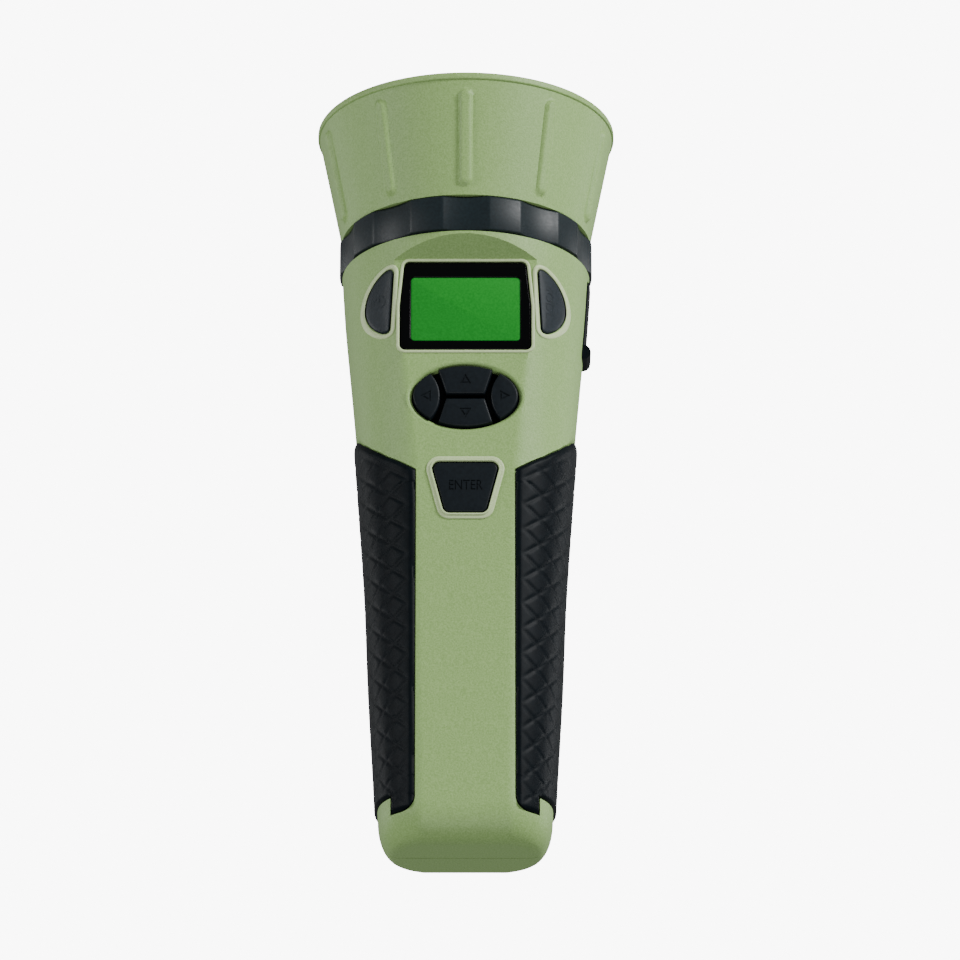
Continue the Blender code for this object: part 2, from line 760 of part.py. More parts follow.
COVER_CORNER = 0.0016
cover_pocket = as_cutter(
    rounded_slab("cover_pocket", COVER_HALF + GAP, COVER_BOTTOM - GAP, COVER_TOP + GAP, 0.010, 0.05, COVER_CORNER)
)
cover_core = as_cutter(skin_solid("cover_pocket_core", -COVER_SEAT, 0.11, BODY_HEIGHT + 0.01))
boolean(cover_pocket, cover_core)
port_holes = joined(
    "port_holes",
    [
        cylinder("jack_hole", JACK_RADIUS + GAP, (0.015, 0, JACK_Z), (0.05, 0, JACK_Z)),
        box(
            "power_port_hole",
            (0.015, -POWER_PORT_HALF_Y - GAP, POWER_PORT_Z - POWER_PORT_HALF_Z - GAP),
            (0.05, POWER_PORT_HALF_Y + GAP, POWER_PORT_Z + POWER_PORT_HALF_Z + GAP),
        ),
    ],
)


def housing_half(name, other_half_low, other_half_high):
    """One half of the hollow body, with the grips' and the cover's pockets let into it."""
    half = as_part(skin_solid(name, 0.0, 0.0, BODY_HEIGHT), "green_plastic")
    boolean(half, cavity)
    boolean(half, as_cutter(box(name + "_other_half", other_half_low, other_half_high)))
    for pocket in pocket_cutters:
        boolean(half, pocket)
    settle(half)
    boolean(half, cover_pocket)
    settle(half)
    return half


# ---------------------------------------------------------------- front housing
front = housing_half("front_housing", (-0.06, -GAP / 2, -0.01), (0.06, 0.06, 0.2))
SCREW_PLACES = [
    (f"{level}_{side_name}", side * x, z, level == "lower")
    for level, x, z in (("upper", SCREW_X[0], SCREW_Z[0]), ("lower", SCREW_X[1], SCREW_Z[1]))
    for side_name, side in (("left", -1), ("right", 1))
]


pilots = []
for tag, x, z, lower in SCREW_PLACES:
    boss = as_cutter(cylinder("boss_" + tag, BOSS_RADIUS, (x, BOSS_ROOT, z), (x, BOSS_END, z), 16))
    wall_x = math.copysign(level_value(1, z) - wall_inset(z) + 0.0003, x)
    web_root = BOSS_ROOT + 0.0006
    web = as_cutter(
        box("boss_web_" + tag, (min(x, wall_x), web_root, z - BOSS_WEB), (max(x, wall_x), -0.001, z + BOSS_WEB))
    )
    boolean(boss, web, "UNION")
    boolean(front, boss, "UNION")
    pilot_start = (x, BOSS_ROOT + 0.002, z)
    pilots.append(cylinder("pilot_" + tag, SCREW_RADIUS + GAP, pilot_start, (x, BOSS_END + 0.002, z), 12))
settle(front)
boolean(front, joined("pilots", pilots))
boolean(front, panel_cutter)
boolean(front, port_holes)

# ---------------------------------------------------------------- rear housing
rear = housing_half("rear_housing", (-0.06, -0.06, -0.01), (0.06, GAP / 2, 0.2))

door_low = up_rear(DOOR_BOTTOM)
door_high = door_low + DOOR_HEIGHT
door_hole = as_cutter(
    outline_prism(
        "door_hole",
        [
            (-DOOR_HALF - GAP, door_low - DOOR_FOOT_GAP), (DOOR_HALF + GAP, door_low - DOOR_FOOT_GAP),
            (DOOR_HALF + GAP, door_high + GAP), (-DOOR_HALF - GAP, door_high + GAP),
        ],
        -0.0080, 0.004, REAR,
    )
)
boolean(rear, door_hole)

def back_surface(x, z):
    """Depth of the round back at a place."""
    width, depth, power = (level_value(column, z) for column in (1, 2, 3))
    return min(rear_depth(z), depth * (1 - (abs(x) / width) ** power) ** (1 / power))


def screw_seat(x, z, lower):
    """Depth of the screw head's outer face, sunk in the back."""
    return back_surface(abs(x) + BOSS_RADIUS, z) - (GRIP_SEAT if lower else 0.0) - SCREW_SINK


shaft_holes = []
head_holes = []
for tag, x, z, lower in SCREW_PLACES:
    seat = screw_seat(x, z, lower)
    sleeve_start = (x, BOSS_END + GAP, z)
    sleeve = cylinder("sleeve_" + tag, SLEEVE_RADIUS, sleeve_start, (x, seat, z), 16)
    boolean(rear, as_cutter(sleeve), "UNION")
    shaft_end = (x, seat - SCREW_HEAD / 2, z)
    shaft_holes.append(cylinder("shaft_hole_" + tag, SCREW_RADIUS + GAP, (x, -0.002, z), shaft_end, 12))
    head_start = (x, seat - SCREW_HEAD, z)
    head_holes.append(cylinder("head_hole_" + tag, SCREW_HEAD_RADIUS + GAP, head_start, (x, seat + 0.01, z), 20))
settle(rear)
boolean(rear, joined("shaft_holes", shaft_holes))
boolean(rear, joined("head_holes", head_holes))
boolean(rear, port_holes)

hinge_v = door_low + PIN_INSET
hinge_w = -PIN_INSET
pin_bore = as_cutter(
    cylinder("pin_bore", PIN_BORE, REAR @ Vector((-PIN_HALF - GAP, hinge_v, hinge_w)),
             REAR @ Vector((PIN_HALF + GAP, hinge_v, hinge_w)), 12)
)
boolean(rear, pin_bore)

# ---------------------------------------------------------------- screws
for tag, x, z, lower in SCREW_PLACES:
    head_top = screw_seat(x, z, lower)
    under_head = head_top - SCREW_HEAD + GAP
    end = max(under_head - SCREW_LENGTH, BOSS_ROOT + 0.002 + GAP)
    screw = turned(
        tag + "_screw",
        [
            (0.0, head_top), (SCREW_HEAD_RADIUS * 0.8, head_top), (SCREW_HEAD_RADIUS, head_top - SCREW_HEAD * 0.4),
            (SCREW_HEAD_RADIUS, under_head), (SCREW_RADIUS, under_head), (SCREW_RADIUS, end + 0.001), (0.0, end),
        ],
        16,
    )
    screw.location = (x, 0, z)
    screw.rotation_euler = (-math.pi / 2, 0, 0)
    as_part(screw, "steel")
    for turn_name, half_x, half_z in (("across", 0.0014, 0.0003), ("upright", 0.0003, 0.0014)):
        recess = as_cutter(
            box(f"recess_{turn_name}_{tag}", (x - half_x, head_top - 0.0008, z - half_z),
                (x + half_x, head_top + 0.001, z + half_z))
        )
        boolean(screw, recess)

# ---------------------------------------------------------------- side grips
for side_name, side in (("left", -1), ("right", 1)):
    grip = as_part(skin_solid(side_name + "_grip", GRIP_PROUD, 0.0, BODY_HEIGHT), "grip_rubber")
    hollow = as_cutter(
        skin_solid(side_name + "_grip_hollow", -(GRIP_SEAT - GAP), -0.001, BODY_HEIGHT + 0.02)
    )
    boolean(grip, hollow)
    boolean(grip, as_cutter(grip_prism(side_name + "_grip_outline", side, 0.0)), "INTERSECT")

# ---------------------------------------------------------------- collar and horn
collar_foot = BODY_HEIGHT + GAP
horn_foot = collar_foot + COLLAR_HEIGHT + GAP
collar_bore = NECK_RADIUS + GAP
collar_edge = 0.0005
collar = as_part(
    turned(
        "collar",
        [
            (COLLAR_RADIUS - collar_edge, collar_foot + COLLAR_HEIGHT),
            (COLLAR_RADIUS, collar_foot + COLLAR_HEIGHT - collar_edge),
            (COLLAR_RADIUS, collar_foot + collar_edge), (COLLAR_RADIUS - collar_edge, collar_foot),
            (collar_bore, collar_foot), (collar_bore, collar_foot + COLLAR_HEIGHT),
        ],
        60,
    ),
    "collar_plastic",
)
for index in range(SCALLOPS):
    angle = -math.pi / 2 + 2 * math.pi * index / SCALLOPS
    reach = SCALLOP_FLOOR + SCALLOP_RADIUS
    spot = Vector((reach * math.cos(angle), reach * math.sin(angle), 0))
    hollow = cylinder(
        f"scallop_{index + 1}", SCALLOP_RADIUS, spot + Vector((0, 0, collar_foot - 0.002)),
        spot + Vector((0, 0, collar_foot + COLLAR_HEIGHT + 0.002)), 64,
    )
    boolean(collar, as_cutter(hollow))

horn_top = horn_foot + HORN_HEIGHT
neck_foot = BODY_HEIGHT - NECK_INSET
ledge_top = horn_foot + THROAT_RISE
ledge_low = ledge_top - LEDGE_THICKNESS
throat_radius = NECK_RADIUS - NECK_WALL
lip_foot_radius = HORN_RIM_RADIUS - 0.0005
horn = as_part(
    turned(
        "horn",
        [
            (HORN_RIM_RADIUS - 0.0005, horn_top), (HORN_RIM_RADIUS, horn_top - 0.0005),
            (HORN_RIM_RADIUS, horn_top - HORN_LIP + 0.0005), (lip_foot_radius, horn_top - HORN_LIP),
            (HORN_FOOT_RADIUS, horn_foot), (NECK_RADIUS, horn_foot), (NECK_RADIUS, neck_foot),
            (throat_radius, neck_foot), (throat_radius, ledge_low), (throat_radius - LEDGE_WIDTH, ledge_low),
            (throat_radius - LEDGE_WIDTH, ledge_top), (throat_radius, ledge_top),
            (HORN_RIM_RADIUS - HORN_WALL, horn_top),
        ],
        TURN_STEPS,
    ),
    "green_plastic",
)
cone_angle = math.atan2(lip_foot_radius - HORN_FOOT_RADIUS, HORN_HEIGHT - HORN_LIP)
rib_half = RIB_WIDTH / 2
rib_straight = RIB_LENGTH / 2 - rib_half
rib_outline = [
    (rib_half * math.cos(a), rib_straight * (1 if a < math.pi else -1) + rib_half * math.sin(a))
    for a in [math.pi * i / 6 for i in range(7)] + [math.pi * (1 + i / 6) + 1e-6 for i in range(7)]
]
for index in range(SCALLOPS):
    middle = RIB_FOOT + RIB_LENGTH / 2 * math.cos(cone_angle)
    radius = HORN_FOOT_RADIUS + middle * math.tan(cone_angle)
    on_cone = (
        Matrix.Rotation(2 * math.pi * index / SCALLOPS, 4, "Z")
        @ Matrix.Translation((0, -radius, horn_foot + middle))
        @ Matrix.Rotation(math.pi / 2 + cone_angle, 4, "X")
    )
    rib = outline_prism(f"rib_{index + 1}", rib_outline, -0.0006, RIB_PROUD, on_cone)
    boolean(horn, as_cutter(rib), "UNION")

# ---------------------------------------------------------------- speaker
grille_radius = throat_radius - 2 * GAP
grille_low = ledge_top + GAP
grille = as_part(
    turned(
        "speaker_grille",
        [
            (0.0, grille_low + GRILLE_THICKNESS), (grille_radius, grille_low + GRILLE_THICKNESS),
            (grille_radius, grille_low), (0.0, grille_low),
        ],
        TURN_STEPS // 2,
    ),
    "black_plastic",
)
slot_pitch = (grille_radius - 0.004) / GRILLE_SLOTS
for ring in range(GRILLE_SLOTS):
    inner = 0.0025 + slot_pitch * ring
    slot = as_cutter(
        turned(
            f"grille_slot_{ring + 1}",
            [
                (inner + slot_pitch * 0.5, grille_low + 0.003), (inner + slot_pitch * 0.5, grille_low - 0.003),
                (inner, grille_low - 0.003), (inner, grille_low + 0.003),
            ],
            12 + 6 * ring,
        )
    )
    for spoke in range(GRILLE_SPOKES // 2):
        bar = box(f"grille_bar_{ring + 1}_{spoke + 1}", (-0.04, -0.0008, 0.16), (0.04, 0.0008, 0.19))
        bar.data.transform(Matrix.Rotation(math.pi * spoke / (GRILLE_SPOKES // 2), 4, "Z"))
        boolean(slot, as_cutter(bar))
    boolean(grille, settle(slot))

gasket_top = ledge_low - GAP
as_part(
    turned(
        "speaker_gasket",
        [
            (throat_radius - GAP, gasket_top), (throat_radius - GAP, gasket_top - GASKET_THICKNESS),
            (throat_radius - LEDGE_WIDTH, gasket_top - GASKET_THICKNESS), (throat_radius - LEDGE_WIDTH, gasket_top),
        ],
        TURN_STEPS // 2,
    ),
    "key_rubber",
)
flange_top = gasket_top - GASKET_THICKNESS - GAP
flange_low = flange_top - SPEAKER_FLANGE
basket_low = flange_top - BASKET_HEIGHT
basket_inner = throat_radius - LEDGE_WIDTH
as_part(
    turned(
        "speaker_basket",
        [
            (throat_radius - GAP, flange_top), (throat_radius - GAP, flange_low), (basket_inner - 0.001, flange_low),
            (BASKET_RADIUS, basket_low), (0.006, basket_low), (0.006, basket_low + BASKET_WALL),
            (BASKET_RADIUS - BASKET_WALL, basket_low + BASKET_WALL), (basket_inner - 0.002, flange_low),
            (basket_inner - 0.002, flange_top),
        ],
        TURN_STEPS // 2,
    ),
    "black_plastic",
)
cone_top = flange_top + 0.0002
cone_rim = basket_inner - 0.0026
cone_foot = basket_low + BASKET_WALL + 0.0025
as_part(
    turned(
        "speaker_cone",
        [
            (0.0, cone_foot + 0.0040), (0.0040, cone_foot + 0.0030), (0.0055, cone_foot + CONE_WALL),
            (cone_rim - 0.003, cone_top - 0.0016), (cone_rim - 0.0015, cone_top), (cone_rim, cone_top - 0.0012),
            (cone_rim, cone_top - 0.0018), (cone_rim - 0.0015, cone_top - CONE_WALL),
            (cone_rim - 0.003, cone_top - 0.0022), (0.0060, cone_foot), (0.0, cone_foot + 0.0015),
        ],
        TURN_STEPS // 2,
    ),
    "paper_cone",
)
magnet_top = basket_low - GAP
as_part(
    turned(
        "speaker_magnet",
        [
            (MAGNET_RADIUS - 0.0006, magnet_top), (MAGNET_RADIUS, magnet_top - 0.0006),
            (MAGNET_RADIUS, magnet_top - MAGNET_HEIGHT + 0.0006), (MAGNET_RADIUS - 0.0006, magnet_top - MAGNET_HEIGHT),
            (0.0030, magnet_top - MAGNET_HEIGHT), (0.0030, magnet_top),
        ],
        TURN_STEPS // 2,
    ),
    "steel",
)

# ---------------------------------------------------------------- display
bezel_back = -(BEZEL_SUNK + BEZEL_THICKNESS)
bezel = as_part(outline_prism("display_bezel", display_outline(), bezel_back, -BEZEL_SUNK, FACET), "black_gloss")
boolean(bezel, as_cutter(outline_prism("lcd_window", lcd_outline(), bezel_back - 0.002, 0.002, FACET)))
lcd_front = bezel_back - GAP
lcd = outline_prism("lcd_glass", grown(lcd_outline(), 0.0010), lcd_front - LCD_GLASS, lcd_front, FACET)
as_part(lcd, "lcd_green")
backlight_front = lcd_front - LCD_GLASS - GAP
backlight = outline_prism(
    "lcd_backlight", grown(lcd_outline(), 0.0010), -(BOARD_DEPTH - GAP), backlight_front, FACET
)
as_part(backlight, "black_plastic")

# ---------------------------------------------------------------- keys on the front panel
def key(name, outline):
    """A rubber key: a cap as wide as its slit allows and a narrower stem, moved along the panel's normal."""
    cap = outline_prism(name, outline, -KEY_CAP, KEY_PROUD)
    stem = outline_prism(name + "_stem", grown(outline, -KEY_STEM_INSET), KEY_PROUD - KEY_LENGTH, -KEY_CAP + 0.0005)
    middle = Vector((
        sum(x for x, y in outline) / len(outline), sum(y for x, y in outline) / len(outline), 0,
    ))
    for obj in (cap, stem):
        obj.data.transform(Matrix.Translation(-middle))
        obj.matrix_world = FACET @ Matrix.Translation(middle)
    edge = cap.modifiers.new("rounded_edge", "BEVEL")
    edge.width = 0.0003
    edge.segments = 1
    edge.limit_method = "ANGLE"
    edge.angle_limit = math.radians(60)
    boolean(as_part(cap, "key_rubber"), as_cutter(stem), "UNION")
    return cap


pad_centre = up_facet(PAD_CENTRE_Z)
up_outline = up_key_outline()
left_outline = left_key_outline()
key("up_key", up_outline)
key("down_key", flipped(up_outline, pad_centre))
key("left_key", left_outline)
key("right_key", mirrored(left_outline))
key("enter_key", enter_outline())

side_foot_y = AMP_Y - BOARD_THICKNESS - SWITCH_HEIGHT - KEY_TRAVEL - GAP
for name, outline in (("power_key", side_key_outline()), ("mode_key", mirrored(side_key_outline()))):
    middle = Vector((
        sum(x for x, y in outline) / len(outline), sum(y for x, y in outline) / len(outline), 0,
    ))
    side_key = outline_prism(name, [(x - middle.x, y - middle.y) for x, y in outline], -0.016, 0.006)
    side_key.matrix_world = FACET @ Matrix.Translation(middle)
    as_part(side_key, "key_rubber")
    boolean(side_key, as_cutter(skin_solid(name + "_face", SIDE_KEY_PROUD, 0.10, BODY_HEIGHT)), "INTERSECT")
    boolean(side_key, as_cutter(box(name + "_foot", (-0.05, side_foot_y, 0.1), (0.05, 0.05, 0.2))))

# ---------------------------------------------------------------- boards
board_back = -(BOARD_DEPTH + BOARD_THICKNESS)
mat_low = up_facet(BOARD_BOTTOM) + 0.001
mat_high = pad_centre + PAD_HALF_HEIGHT + 0.002
mat_front = -(BOARD_DEPTH - GAP - MAT_THICKNESS)
mat_outline = rounded([(-MAT_HALF, mat_low), (MAT_HALF, mat_low), (MAT_HALF, mat_high), (-MAT_HALF, mat_high)], 0.002)
as_part(outline_prism("keypad_mat", mat_outline, -(BOARD_DEPTH - GAP), mat_front, FACET), "key_rubber")

board_low, board_high = up_facet(BOARD_BOTTOM), up_facet(BOARD_TOP)
board_outline = rounded(
    [(-BOARD_HALF, board_low), (BOARD_HALF, board_low), (BOARD_HALF, board_high), (-BOARD_HALF, board_high)], 0.0015
)
board = as_part(outline_prism("main_board", board_outline, board_back, -BOARD_DEPTH, FACET), "board_green")
for index, (x, height, half) in enumerate(((0.0, 0.118, 0.0050), (-0.004, 0.100, 0.0030), (0.006, 0.132, 0.0025))):
    v = up_facet(height)
    square = [(x - half, v - half), (x + half, v - half), (x + half, v + half), (x - half, v + half)]
    chip = outline_prism(f"chip_{index + 1}", square, board_back - CHIP_HEIGHT, board_back + 0.0004, FACET)
    boolean(board, as_cutter(chip), "UNION")

amp_front = AMP_Y - BOARD_THICKNESS
amp = as_part(box("amp_board", (-AMP_HALF, amp_front, AMP_BOTTOM), (AMP_HALF, AMP_Y, AMP_TOP)), "board_green")
switch_z = SIDE_KEY_BOTTOM + SIDE_KEY_HEIGHT / 2
for side_name, side in (("left", -1), ("right", 1)):
    x = side * (SIDE_KEY_X + SIDE_KEY_WIDTH / 2 - 0.0006)
    switch = box(
        side_name + "_switch", (x - SWITCH_HALF, amp_front - SWITCH_HEIGHT, switch_z - SWITCH_HALF),
        (x + SWITCH_HALF, amp_front + 0.0005, switch_z + SWITCH_HALF),
    )
    boolean(amp, as_cutter(switch), "UNION")

# ---------------------------------------------------------------- batteries
cell_top = CELL_BOTTOM + CELL_LENGTH
cell_number = 0
for column in (-1, 1):
    for row in (-1, 1):
        cell_number += 1
        cell = turned(
            f"battery_cell_{cell_number}",
            [
                (0.0, cell_top + CELL_NUB), (CELL_NUB_RADIUS, cell_top + CELL_NUB), (CELL_NUB_RADIUS, cell_top),
                (CELL_RADIUS - 0.0005, cell_top), (CELL_RADIUS, cell_top - 0.0005),
                (CELL_RADIUS, CELL_BOTTOM + 0.0005), (CELL_RADIUS - 0.0005, CELL_BOTTOM), (0.0, CELL_BOTTOM),
            ],
            18,
        )
        cell.location = (column * CELL_SPACING / 2, row * CELL_SPACING / 2, 0)
        as_part(cell, "cell_wrap")
        wire = bpy.data.curves.new(f"battery_spring_{cell_number}", "CURVE")
        wire.dimensions = "3D"
        wire.bevel_depth = SPRING_WIRE
        wire.bevel_resolution = 1
        wire.use_fill_caps = True
        spline = wire.splines.new("POLY")
        steps = int(SPRING_TURNS * SPRING_POINTS)
        spline.points.add(steps)
        spring_low = END_CAP_BOTTOM + END_CAP_THICKNESS + CONTACT_THICKNESS + 2 * GAP + SPRING_WIRE
        spring_high = CELL_BOTTOM - GAP - SPRING_WIRE
        for i, point in enumerate(spline.points):
            turn = 2 * math.pi * i / SPRING_POINTS
            radius = SPRING_RADIUS * (1 - 0.35 * i / steps)
            point.co = (
                radius * math.cos(turn), radius * math.sin(turn),
                spring_low + (spring_high - spring_low) * i / steps, 1.0,
            )
        spring = bpy.data.objects.new(wire.name, wire)
        spring.location = cell.location
        as_part(spring, "steel")


def plate(name, bottom, thickness, inset, finish):
    """A flat plate that follows the inside of the handle."""
    outline = body_section(bottom, -(wall_inset(bottom) + inset))
    return as_part(outline_prism(name, outline, bottom, bottom + thickness), finish)


plate("lower_end_cap", END_CAP_BOTTOM, END_CAP_THICKNESS, 2 * GAP, "black_plastic")
plate("lower_contact_plate", END_CAP_BOTTOM + END_CAP_THICKNESS + GAP, CONTACT_THICKNESS, CONTACT_INSET, "steel")
upper_plate = cell_top + CELL_NUB + GAP
plate("upper_contact_plate", upper_plate, CONTACT_THICKNESS, CONTACT_INSET + 0.004, "steel")
plate("upper_end_cap", upper_plate + CONTACT_THICKNESS + GAP, END_CAP_THICKNESS, 0.0045, "black_plastic")

# ---------------------------------------------------------------- battery door and hinge pin
def panel_box(name, half, low, high, back, face):
    """A box on the rear panel's frame."""
    return outline_prism(name, [(-half, low), (half, low), (half, high), (-half, high)], back, face, REAR)


hinge = REAR @ Vector((0, hinge_v, hinge_w))
door = as_part(panel_box("battery_door", DOOR_HALF, door_low, door_high, -DOOR_THICKNESS, 0.0), "green_plastic")
door.data.transform(Matrix.Translation(-hinge))
door.location = hinge
boolean(door, pin_bore)
notch_low = door_high - NOTCH_HEIGHT
notch = panel_box("finger_notch", NOTCH_HALF, notch_low, door_high + 0.001, -NOTCH_DEPTH, 0.004)
boolean(door, as_cutter(notch))
pin = cylinder(
    "door_hinge_pin", PIN_RADIUS, REAR @ Vector((-PIN_HALF, hinge_v, hinge_w)),
    REAR @ Vector((PIN_HALF, hinge_v, hinge_w)), 12,
)
as_part(pin, "steel")

# ---------------------------------------------------------------- ports and their cover
jack_face = level_value(1, JACK_Z) - COVER_SEAT - 2 * GAP
jack = as_part(
    cylinder("audio_jack", JACK_RADIUS, (jack_face - JACK_LENGTH, 0, JACK_Z), (jack_face, 0, JACK_Z)), "black_plastic"
)
boolean(
    jack,
    as_cutter(
        cylinder(
            "jack_bore", JACK_BORE,
            (jack_face - JACK_LENGTH + 0.001, 0, JACK_Z), (jack_face + 0.001, 0, JACK_Z), 16,
        )
    ),
)
port_face = level_value(1, POWER_PORT_Z) - COVER_SEAT - 2 * GAP
port = as_part(
    box(
        "power_port", (port_face - POWER_PORT_LENGTH, -POWER_PORT_HALF_Y, POWER_PORT_Z - POWER_PORT_HALF_Z),
        (port_face, POWER_PORT_HALF_Y, POWER_PORT_Z + POWER_PORT_HALF_Z),
    ),
    "steel",
)
port_inside = (POWER_PORT_HALF_Y - POWER_PORT_WALL, POWER_PORT_HALF_Z - POWER_PORT_WALL)
boolean(
    port,
    as_cutter(
        box(
            "power_port_bore",
            (port_face - POWER_PORT_LENGTH + 0.001, -port_inside[0], POWER_PORT_Z - port_inside[1]),
            (port_face + 0.001, port_inside[0], POWER_PORT_Z + port_inside[1]),
        )
    ),
)

cover = as_part(
    rounded_slab("port_cover", COVER_HALF, COVER_BOTTOM, COVER_TOP, 0.012, 0.05, COVER_CORNER), "grip_rubber"
)
cover_hinge = Vector((COVER_HINGE_X, 0, COVER_TOP))
cover.data.transform(Matrix.Translation(-cover_hinge))
cover.location = cover_hinge
boolean(cover, as_cutter(skin_solid("cover_outside", COVER_PROUD, 0.11, BODY_HEIGHT)), "INTERSECT")
boolean(cover, as_cutter(skin_solid("cover_inside", -(COVER_SEAT - GAP), 0.10, BODY_HEIGHT + 0.01)))
tab_x = level_value(1, COVER_BOTTOM + TAB_HEIGHT / 2)
tab = as_cutter(
    cylinder(
        "cover_tab", TAB_HEIGHT / 2, (tab_x - 0.0002, -COVER_HALF * 0.8, COVER_BOTTOM + TAB_HEIGHT / 2),
        (tab_x - 0.0002, COVER_HALF * 0.8, COVER_BOTTOM + TAB_HEIGHT / 2), 12,
    )
)
tab_cut = as_cutter(skin_solid("tab_core", -(COVER_SEAT - GAP), 0.10, BODY_HEIGHT + 0.011))
boolean(tab, tab_cut)
boolean(cover, tab, "UNION")

# ---------------------------------------------------------------- internal leads
def lead(name, finish, points):
    """A short insulated wire held between two pieces."""
    wire = bpy.data.curves.new(name, "CURVE")
    wire.dimensions = "3D"
    wire.bevel_depth = LEAD_RADIUS
    wire.bevel_resolution = 1
    wire.use_fill_caps = True
    spline = wire.splines.new("POLY")
    steps = 12
    spline.points.add(steps)
    a, b, c, d = (Vector(point) for point in points)
    for i, point in enumerate(spline.points):
        t = i / steps
        place = (1 - t) ** 3 * a + 3 * (1 - t) ** 2 * t * b + 3 * (1 - t) * t * t * c + t**3 * d
        point.co = (*place, 1.0)
    return as_part(bpy.data.objects.new(name, wire), finish)


lead_top = basket_low + 0.0010
lead_y = BASKET_RADIUS + 0.0026
board_foot_y = (FACET @ Vector((0, board_low, board_back + BOARD_THICKNESS / 2))).y
for side_name, side, finish in (("red", -1, "lead_red"), ("black", 1, "lead_black")):
    x = side * LEAD_X
    lead(
        "speaker_lead_" + side_name, finish,
        [(x, lead_y, lead_top), (x, lead_y, AMP_TOP - 0.006), (x, AMP_Y + 0.008, 0.140), (x, AMP_Y + 0.0009, 0.140)],
    )
    cap_top = upper_plate + CONTACT_THICKNESS + END_CAP_THICKNESS + 3 * GAP
    lead(
        "battery_lead_" + side_name, finish,
        [(x, -0.006, cap_top), (x, -0.006, cap_top + 0.010), (x, board_foot_y, 0.072), (x, board_foot_y, BOARD_BOTTOM - GAP)],
    )

for obj in parts.objects:
    if obj.type == "MESH":
        obj.data.shade_smooth()
        obj.data.set_sharp_from_angle(angle=math.radians(35))
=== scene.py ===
"""Handheld electronic game caller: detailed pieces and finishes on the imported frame."""

import json
import math

import bpy
from mathutils import Matrix, Vector


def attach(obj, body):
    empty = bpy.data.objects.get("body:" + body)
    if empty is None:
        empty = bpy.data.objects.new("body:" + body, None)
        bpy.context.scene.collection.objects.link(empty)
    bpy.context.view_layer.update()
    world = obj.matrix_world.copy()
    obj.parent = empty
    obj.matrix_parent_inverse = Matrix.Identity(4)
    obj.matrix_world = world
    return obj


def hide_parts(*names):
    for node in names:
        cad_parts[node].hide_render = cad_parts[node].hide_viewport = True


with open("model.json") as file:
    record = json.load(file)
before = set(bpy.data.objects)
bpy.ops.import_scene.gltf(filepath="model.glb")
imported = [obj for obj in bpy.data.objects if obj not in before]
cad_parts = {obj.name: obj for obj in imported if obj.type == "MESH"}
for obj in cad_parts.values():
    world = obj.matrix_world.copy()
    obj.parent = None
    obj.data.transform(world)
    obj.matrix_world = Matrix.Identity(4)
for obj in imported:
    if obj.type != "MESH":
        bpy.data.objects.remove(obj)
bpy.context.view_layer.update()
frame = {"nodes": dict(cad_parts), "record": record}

# ---------------------------------------------------------------- sizes (metres)
GAP = 0.0003
MERGE = 0.000003

BODY_LEVELS = (
    (0.0000, 0.0219, 0.0196, 2.60),
    (0.0120, 0.0222, 0.0200, 2.60),
    (0.0435, 0.0240, 0.0216, 2.60),
    (0.0690, 0.0251, 0.0229, 2.60),
    (0.0962, 0.0270, 0.0244, 2.55),
    (0.1140, 0.0284, 0.0264, 2.35),
    (0.1305, 0.02995, 0.0287, 2.15),
    (0.1450, 0.0313, 0.0308, 2.02),
    (0.1584, 0.0322, 0.0322, 2.00),
)
BODY_HEIGHT = BODY_LEVELS[-1][0]
FACET_FOOT = 0.0180
FACET_LEAN = math.radians(2.96)
FACET_TOP = 0.1530
BROW_SLOPE = 1.32
REAR_FOOT = 0.0182
REAR_LEAN = math.radians(3.0)
REAR_PANEL_TOP = 0.0962
REAR_RUNOUT_SLOPE = 0.35
BASE_ROUND_HEIGHT = 0.0090
BASE_ROUND_SIDE = 0.0050
BASE_ROUND_DEPTH = 0.0075
WALL = 0.0022
POCKET_DEPTH = 0.0018

JACK_Z = 0.1500
JACK_RADIUS = 0.0031
POWER_PORT_Z = 0.1406
POWER_PORT_HALF_Y = 0.0042
POWER_PORT_HALF_Z = 0.0018
SOCKET_CUT_X = 0.0325
SOCKET_CUT_LENGTH = 0.035

PANEL_COLUMNS = 26
SIDE_COLUMNS = 40
ROW_PITCH = 0.0016
BROW_ROWS = 12
BASE_ROWS = 10

GRIP_EDGE = 0.0128
GRIP_TOP_LINE = ((0.0, 0.0962), (0.0072, 0.1009), (0.0112, 0.1045), (0.0137, 0.1077), (0.0157, 0.1118))
GRIP_OUTER_TOP = GRIP_TOP_LINE[-1][1]
GRIP_REACH = 0.0425
GRIP_STEP_X = 0.0184
GRIP_STEP_Z = 0.0116
GRIP_LOBE_Z = 0.0072
GRIP_LOBE_RADIUS = 0.0034
GRIP_PROUD = 0.0008
GRIP_ROUND = 0.0009
GRIP_COLUMNS = 53
GRIP_ROW = 0.0004125
GROOVE_PITCH = 16
GROOVE_DEPTH = 0.00026
GROOVE_FADE = 0.0024

COLLAR_FOOT = BODY_HEIGHT + GAP
COLLAR_HEIGHT = 0.0095
COLLAR_RADIUS = 0.0329
SCALLOPS = 10
SCALLOP_RADIUS = 0.0244
SCALLOP_FLOOR = 0.0316
NECK_RADIUS = 0.0290
NECK_WALL = 0.0020
NECK_FOOT = BODY_HEIGHT - 0.0008

